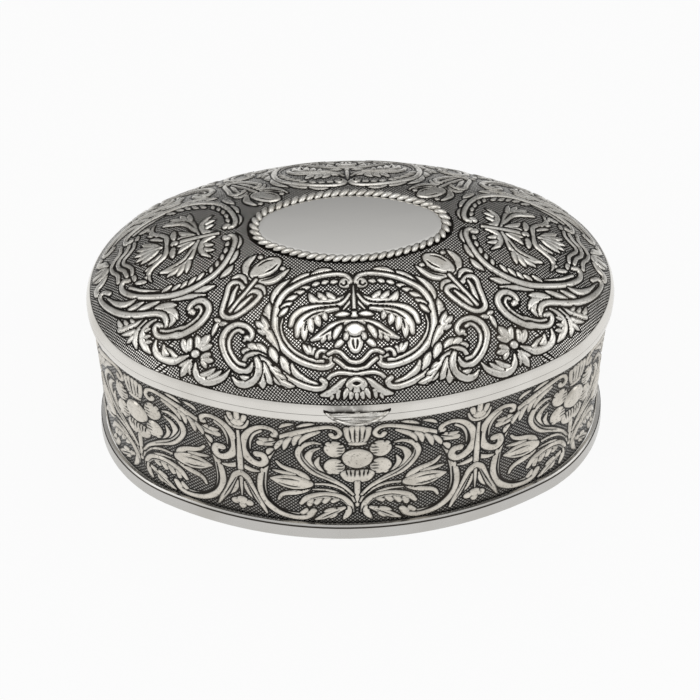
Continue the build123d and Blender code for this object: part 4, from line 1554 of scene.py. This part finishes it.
class OVALBOX_OT_wall_relief(PieceOperator, bpy.types.Operator):
    """Embossed skin of the wall, in six like panels"""

    bl_idname = "ovalbox.wall_relief"
    bl_label = "Wall relief"

    def execute(self, context):
        size = sizes()
        width = outline_length() / PANELS
        pattern, across, up = new_grid("wall_relief_1", size.wall_columns, size.wall_rows)
        run = (across - 0.5) * width
        height = FOOT_TOP - WALL_LAP + up * (BEAD_BOTTOM - FOOT_TOP + 2 * WALL_LAP)
        relief = paint(Relief(abs(run), height), WALL_PARTS)
        set_depth(pattern, relief.depth)
        set_chart(pattern, run, height)
        lift = wall_set_out(height) - size.ground_sink / MM + relief.height
        for index in range(PANELS):
            panel = pattern
            if index:
                panel = twin(pattern)
                name_piece(panel, f"wall_relief_{index + 1}")
            centre = width * (index if index <= PANELS // 2 else index - PANELS)
            half = outline_length() / 2
            whole = np.where(centre + run > half, centre + run - 2 * half, centre + run)
            whole = whole + np.interp(whole, *WALL_STRETCH)
            x, y, out_x, out_y = outline_place(whole)
            set_points(panel, np.column_stack([x + out_x * lift, y + out_y * lift, height]))
            panel.data.shade_smooth()
            normals = normals_of(panel)
            border = (across < TINY) | (across > 1 - TINY)
            along = -normals[:, 0] * out_y + normals[:, 1] * out_x
            normals[border, 0] += (along * out_y)[border]
            normals[border, 1] -= (along * out_x)[border]
            panel.data.normals_split_custom_set_from_vertices(normals)
            on_body(panel, "body", finish_named("wall_silver"), "embossed_silver")
        return {"FINISHED"}


class OVALBOX_OT_wall_sheet(PieceOperator, bpy.types.Operator):
    """Sheet of the wall below its relief"""

    bl_idname = "ovalbox.wall_sheet"
    bl_label = "Wall sheet"

    def execute(self, context):
        low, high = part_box("body_wall")
        levels = np.linspace(low.z / MM, high.z / MM, WALL_LEVELS)
        rings = []
        for set_in, order in ((SKIN_GAP, levels), (SHEET, levels[::-1])):
            for level in order:
                out = float(wall_set_out(level)) - set_in
                rings.append((HALF_LENGTH + out, HALF_WIDTH + out, level))
        rings.append(rings[0])
        piece = ring_shell("wall_sheet", rings)
        weld(piece)
        cut_away(piece, *WALL_NOTCH)
        on_body(piece, "body", finish_named("polished_silver"), "embossed_silver", "body_wall")
        smooth_by_angle(piece, 40)
        return {"FINISHED"}


class OVALBOX_OT_thumb_catch(PieceOperator, bpy.types.Operator):
    """Half-moon catch, scooped for the thumb, with a raised edge"""

    bl_idname = "ovalbox.thumb_catch"
    bl_label = "Thumb catch"

    def execute(self, context):
        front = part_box("thumb_catch")[0].y / MM
        piece, across, along = new_grid("thumb_catch_scoop", *CATCH_FACES)
        x = CATCH_HALF * np.sin((across - 0.5) * math.pi)
        radius = (CATCH_HALF**2 + CATCH_REACH**2) / (2 * CATCH_REACH)
        edge = np.sqrt(radius**2 - x**2) - (radius - CATCH_REACH)
        share = 1 - along
        out = -CATCH_ROOT + (edge + CATCH_ROOT) * share
        room = (1 - share) * (edge + CATCH_ROOT)
        droop = -math.tan(math.radians(CATCH_DROOP)) * out
        scoop = -CATCH_SCOOP * np.clip(room, 0, 1) ** 0.7 * np.clip(edge / 2, 0, 1)
        rounded = -CATCH_SCOOP * np.clip(1 - room / CATCH_EDGE, 0, 1) ** 2
        level = LID_BOTTOM + CATCH_HEIGHT
        set_points(piece, np.column_stack([x, front + CATCH_REACH - out, level + droop + scoop + rounded]))
        # Painted shade: the band next to the root, out to CATCH_DARK, gets a groove depth and so the
        # blackened colour, standing in for the shade in the crease where the catch meets the lid.
        set_depth(piece, np.where(out < CATCH_DARK, *CATCH_DEPTHS))
        apply_step(piece, "SOLIDIFY", thickness=CATCH_THICKNESS * MM, offset=-1)
        weld(piece)
        on_body(piece, "lid", finish_named("catch_silver"), "polished_silver", "thumb_catch")
        smooth_by_angle(piece, 50)
        return {"FINISHED"}


CATCH_HALF = 8.95
CATCH_REACH = 4.2
CATCH_ROOT = 1.6
CATCH_DROOP = 14
CATCH_HEIGHT = 1.75
CATCH_THICKNESS = 0.95
CATCH_SCOOP = 0.5
CATCH_EDGE = 0.45
CATCH_DARK = 0.5
CATCH_DEPTHS = (-0.2, 0.3)
CATCH_FACES = (64, 22)


def solid_copy(name, solid):
    """A merged copy of a solid, to be worked on."""
    piece = bpy.data.objects.new(name, nodes[solid].data.copy())
    bpy.context.scene.collection.objects.link(piece)
    weld(piece)
    return piece


def apply_step(piece, kind, **settings):
    """Adds a modifier with its settings and applies it."""
    step = piece.modifiers.new(kind.lower(), kind)
    for key, value in settings.items():
        setattr(step, key, value)
    pick(piece)
    bpy.ops.object.modifier_apply(modifier=step.name)


def swell(piece, voxel, start_inside, cap, sewn):
    """Stuffs a pad by cloth simulation under pressure. Sewn points stay, and others move up to the cap."""
    apply_step(piece, "REMESH", mode="VOXEL", voxel_size=voxel * MM)
    rest = points_of(piece)
    held = sewn(rest)
    start = rest - normals_of(piece) * start_inside
    set_points(piece, start)
    group = piece.vertex_groups.new(name="sewn")
    group.add([int(index) for index in np.nonzero(held)[0]], 1.0, "REPLACE")
    cloth = piece.modifiers.new("cloth", "CLOTH")
    settings = cloth.settings
    settings.vertex_group_mass = "sewn"
    settings.mass = CLOTH_MASS
    settings.use_pressure = True
    settings.uniform_pressure_force = CLOTH_PRESSURE
    for kind in ("tension", "compression", "shear"):
        setattr(settings, f"{kind}_stiffness", CLOTH_STIFFNESS)
    settings.bending_stiffness = CLOTH_BENDING
    settings.effector_weights.gravity = 0
    cloth.point_cache.frame_end = CLOTH_FRAMES
    for number in range(1, CLOTH_FRAMES + 1):
        bpy.context.scene.frame_set(number)
    pick(piece)
    bpy.ops.object.modifier_apply(modifier=cloth.name)
    bpy.context.scene.frame_set(1)
    piece.vertex_groups.clear()
    moved = points_of(piece) - start
    far = np.maximum(np.linalg.norm(moved, axis=1, keepdims=True), TINY)
    set_points(piece, start + moved * np.minimum(1, cap / far))
    apply_step(piece, "SMOOTH", factor=0.5, iterations=2)
    apply_step(piece, "SUBSURF", levels=1, render_levels=1)
    smooth(piece)


CLOTH_MASS = 0.0004
CLOTH_PRESSURE = 4.0
CLOTH_STIFFNESS = 4.0
CLOTH_BENDING = 0.02
CLOTH_FRAMES = 20


def oval_share(points, long_half, short_half):
    """How far out each point lies, 1 on the oval with these half sizes."""
    return np.hypot(points[:, 0] / long_half, points[:, 1] / short_half)


class OVALBOX_OT_floor_cushion(PieceOperator, bpy.types.Operator):
    """Velvet cushion on the floor of the box, with a sewn border"""

    bl_idname = "ovalbox.floor_cushion"
    bl_label = "Floor cushion"

    def execute(self, context):
        low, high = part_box("floor_pad")
        long_half, short_half = high.x / MM, high.y / MM
        bottom = low.z / MM

        def sewn(points):
            """The cushion's bottom and the line of its seam."""
            share = oval_share(points, long_half, short_half)
            line = abs(share - 1 + SEAM_INSET / short_half) < SEAM_HALF / short_half
            return (points[:, 2] < bottom + CUSHION_BASE) | (line & (points[:, 2] > bottom + CUSHION_TOP))

        piece = solid_copy("floor_cushion", "floor_pad")
        swell(piece, CUSHION_VOXEL, CUSHION_START, CUSHION_CAP, sewn)
        on_body(piece, "body", finish_named("velvet"), "velvet", "floor_pad")
        cord = rolled_edge("floor_cushion_piping", long_half - SEAM_INSET, short_half - SEAM_INSET,
                           high.z / MM - PIPING_SUNK)
        on_body(cord, "body", finish_named("velvet"), "velvet")
        return {"FINISHED"}


SEAM_INSET = 9.0
SEAM_HALF = 0.55
CUSHION_BASE = 0.6
CUSHION_TOP = 1.5
CUSHION_VOXEL = 1.5
CUSHION_START = 0.55
CUSHION_CAP = 0.7
PIPING_SUNK = 0.75
PIPING_RADIUS = 0.55
PIPING_SIDES = 8


def rolled_edge(name, long_half, short_half, level):
    """A thin rolled cord of velvet along a seam."""
    rings = []
    for step in range(PIPING_SIDES + 1):
        turn = 2 * math.pi * step / PIPING_SIDES
        out = PIPING_RADIUS * math.cos(turn)
        rings.append((long_half + out, short_half + out, level + PIPING_RADIUS * math.sin(turn)))
    piece = ring_shell(name, rings, turns=240)
    weld(piece)
    smooth(piece)
    return piece


class OVALBOX_OT_lid_velvet(PieceOperator, bpy.types.Operator):
    """Padded velvet inside the lid"""

    bl_idname = "ovalbox.lid_velvet"
    bl_label = "Lid velvet"

    def execute(self, context):
        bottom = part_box("lid_lining")[0].z / MM

        def sewn(points):
            """The velvet's lower edge."""
            return points[:, 2] < bottom + LID_VELVET_BASE

        piece = solid_copy("lid_velvet", "lid_lining")
        swell(piece, LID_VELVET_VOXEL, LID_VELVET_START, LID_VELVET_CAP, sewn)
        on_body(piece, "lid", finish_named("velvet"), "velvet", "lid_lining")
        return {"FINISHED"}


LID_VELVET_BASE = 1.2
LID_VELVET_VOXEL = 1.25
LID_VELVET_START = 0.3
LID_VELVET_CAP = 0.35


class OVALBOX_OT_wall_velvet(PieceOperator, bpy.types.Operator):
    """Velvet round the wall, rolled over at its top"""

    bl_idname = "ovalbox.wall_velvet"
    bl_label = "Wall velvet"

    def execute(self, context):
        piece = solid_copy("wall_velvet", "wall_lining")
        apply_step(piece, "REMESH", mode="VOXEL", voxel_size=WALL_VELVET_VOXEL * MM)
        points = points_of(piece)
        run = np.arctan2(points[:, 1] / HALF_WIDTH, points[:, 0] / HALF_LENGTH)
        upper = np.clip((points[:, 2] - WAVES_FROM) / WAVES_RISE, 0, 1)
        wave = np.sin(run * WAVES_ROUND + 1.2 * np.sin(run * 5)) * upper
        set_points(piece, points + normals_of(piece) * (WAVE_MIDDLE + WAVE_HEIGHT * wave[:, None]))
        apply_step(piece, "SMOOTH", factor=0.5, iterations=4)
        smooth(piece)
        on_body(piece, "body", finish_named("velvet"), "velvet", "wall_lining")
        return {"FINISHED"}


WALL_VELVET_VOXEL = 0.72
WAVES_ROUND = 22
WAVES_FROM = 12
WAVES_RISE = 30
WAVE_MIDDLE = 0.05
WAVE_HEIGHT = 0.07


class OVALBOX_OT_felt(PieceOperator, bpy.types.Operator):
    """Felt glued under the base, with a slightly fuzzy cut edge"""

    bl_idname = "ovalbox.felt"
    bl_label = "Felt"

    def execute(self, context):
        low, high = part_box("base_felt")
        long_half, short_half = high.x / MM, high.y / MM
        bottom, top = low.z / MM, high.z / MM
        rings = [(*POLE, top)]
        rings += [(long_half * share, short_half * share, top) for share in FELT_SHARES]
        rings += [(long_half - 0.1, short_half - 0.1, top), (long_half, short_half, top - 0.3),
                  (long_half, short_half, bottom + 0.3), (long_half - 0.15, short_half - 0.15, bottom)]
        rings += [(long_half * share, short_half * share, bottom) for share in FELT_SHARES[::-1]]
        rings.append((*POLE, bottom))
        piece = ring_shell("felt_sheet", rings, turns=240)
        weld(piece)
        close_ends(piece)
        points = points_of(piece)
        turn = np.arctan2(points[:, 1], points[:, 0])
        edge = np.clip((oval_share(points, long_half, short_half) - 0.95) * 20, 0, 1)
        fray = FELT_FRAY * edge * (np.sin(turn * 61) + np.sin(turn * 97 + 1) - 2)
        points[:, 0] += fray * np.cos(turn)
        points[:, 1] += fray * np.sin(turn)
        set_points(piece, points)
        on_body(piece, "body", finish_named("felt"), "felt", "base_felt")
        smooth_by_angle(piece, 40)
        end, side, switch = oval_arcs(long_half, short_half)
        caps = end**2 * switch + side**2 * (QUARTER - switch)
        gap = (long_half - end) * (side - short_half)
        2 * (caps - gap) * MM**2
        return {"FINISHED"}


FELT_SHARES = (0.3, 0.6, 0.9)
FELT_FRAY = 0.12


# Panel and running

class OVALBOX_PT_panel(bpy.types.Panel):
    """Lists the pieces of the box"""

    bl_idname = "OVALBOX_PT_panel"
    bl_label = "Oval embossed box"
    bl_space_type = "VIEW_3D"
    bl_region_type = "UI"
    bl_category = "Oval box"

    def draw(self, context):
        for kind in OPERATORS:
            self.layout.operator(kind.bl_idname)
        for group in (context.scene.oval_box_sizes, context.scene.oval_box_colours):
            box = self.layout.box()
            for key in group.__annotations__:
                box.prop(group, key)


OPERATORS = (
    OVALBOX_OT_stage,
    OVALBOX_OT_finishes,
    OVALBOX_OT_lid_relief,
    OVALBOX_OT_lid_sheet,
    OVALBOX_OT_lid_plate,
    OVALBOX_OT_wall_relief,
    OVALBOX_OT_wall_sheet,
    OVALBOX_OT_thumb_catch,
    OVALBOX_OT_floor_cushion,
    OVALBOX_OT_lid_velvet,
    OVALBOX_OT_wall_velvet,
    OVALBOX_OT_felt,
)
CLASSES = (BoxSizes, BoxColours, *OPERATORS, OVALBOX_PT_panel)


def register():
    """Makes the classes, sizes and colours known."""
    for kind in CLASSES:
        bpy.utils.register_class(kind)
    bpy.types.Scene.oval_box_sizes = PointerProperty(type=BoxSizes)
    bpy.types.Scene.oval_box_colours = PointerProperty(type=BoxColours)


def unregister():
    """Takes them away again, in the other order."""
    del bpy.types.Scene.oval_box_sizes
    del bpy.types.Scene.oval_box_colours
    for kind in reversed(CLASSES):
        bpy.utils.unregister_class(kind)


def corners(bounds):
    """Two corners as plain lists."""
    return [[round(value, 6) for value in corner] for corner in bounds]


def main():
    """Makes the whole box, one operator after another."""
    register()
    for kind in OPERATORS:
        group, name = kind.bl_idname.split(".")
        getattr(getattr(bpy.ops, group), name)()


if __name__ == "__main__":
    main()
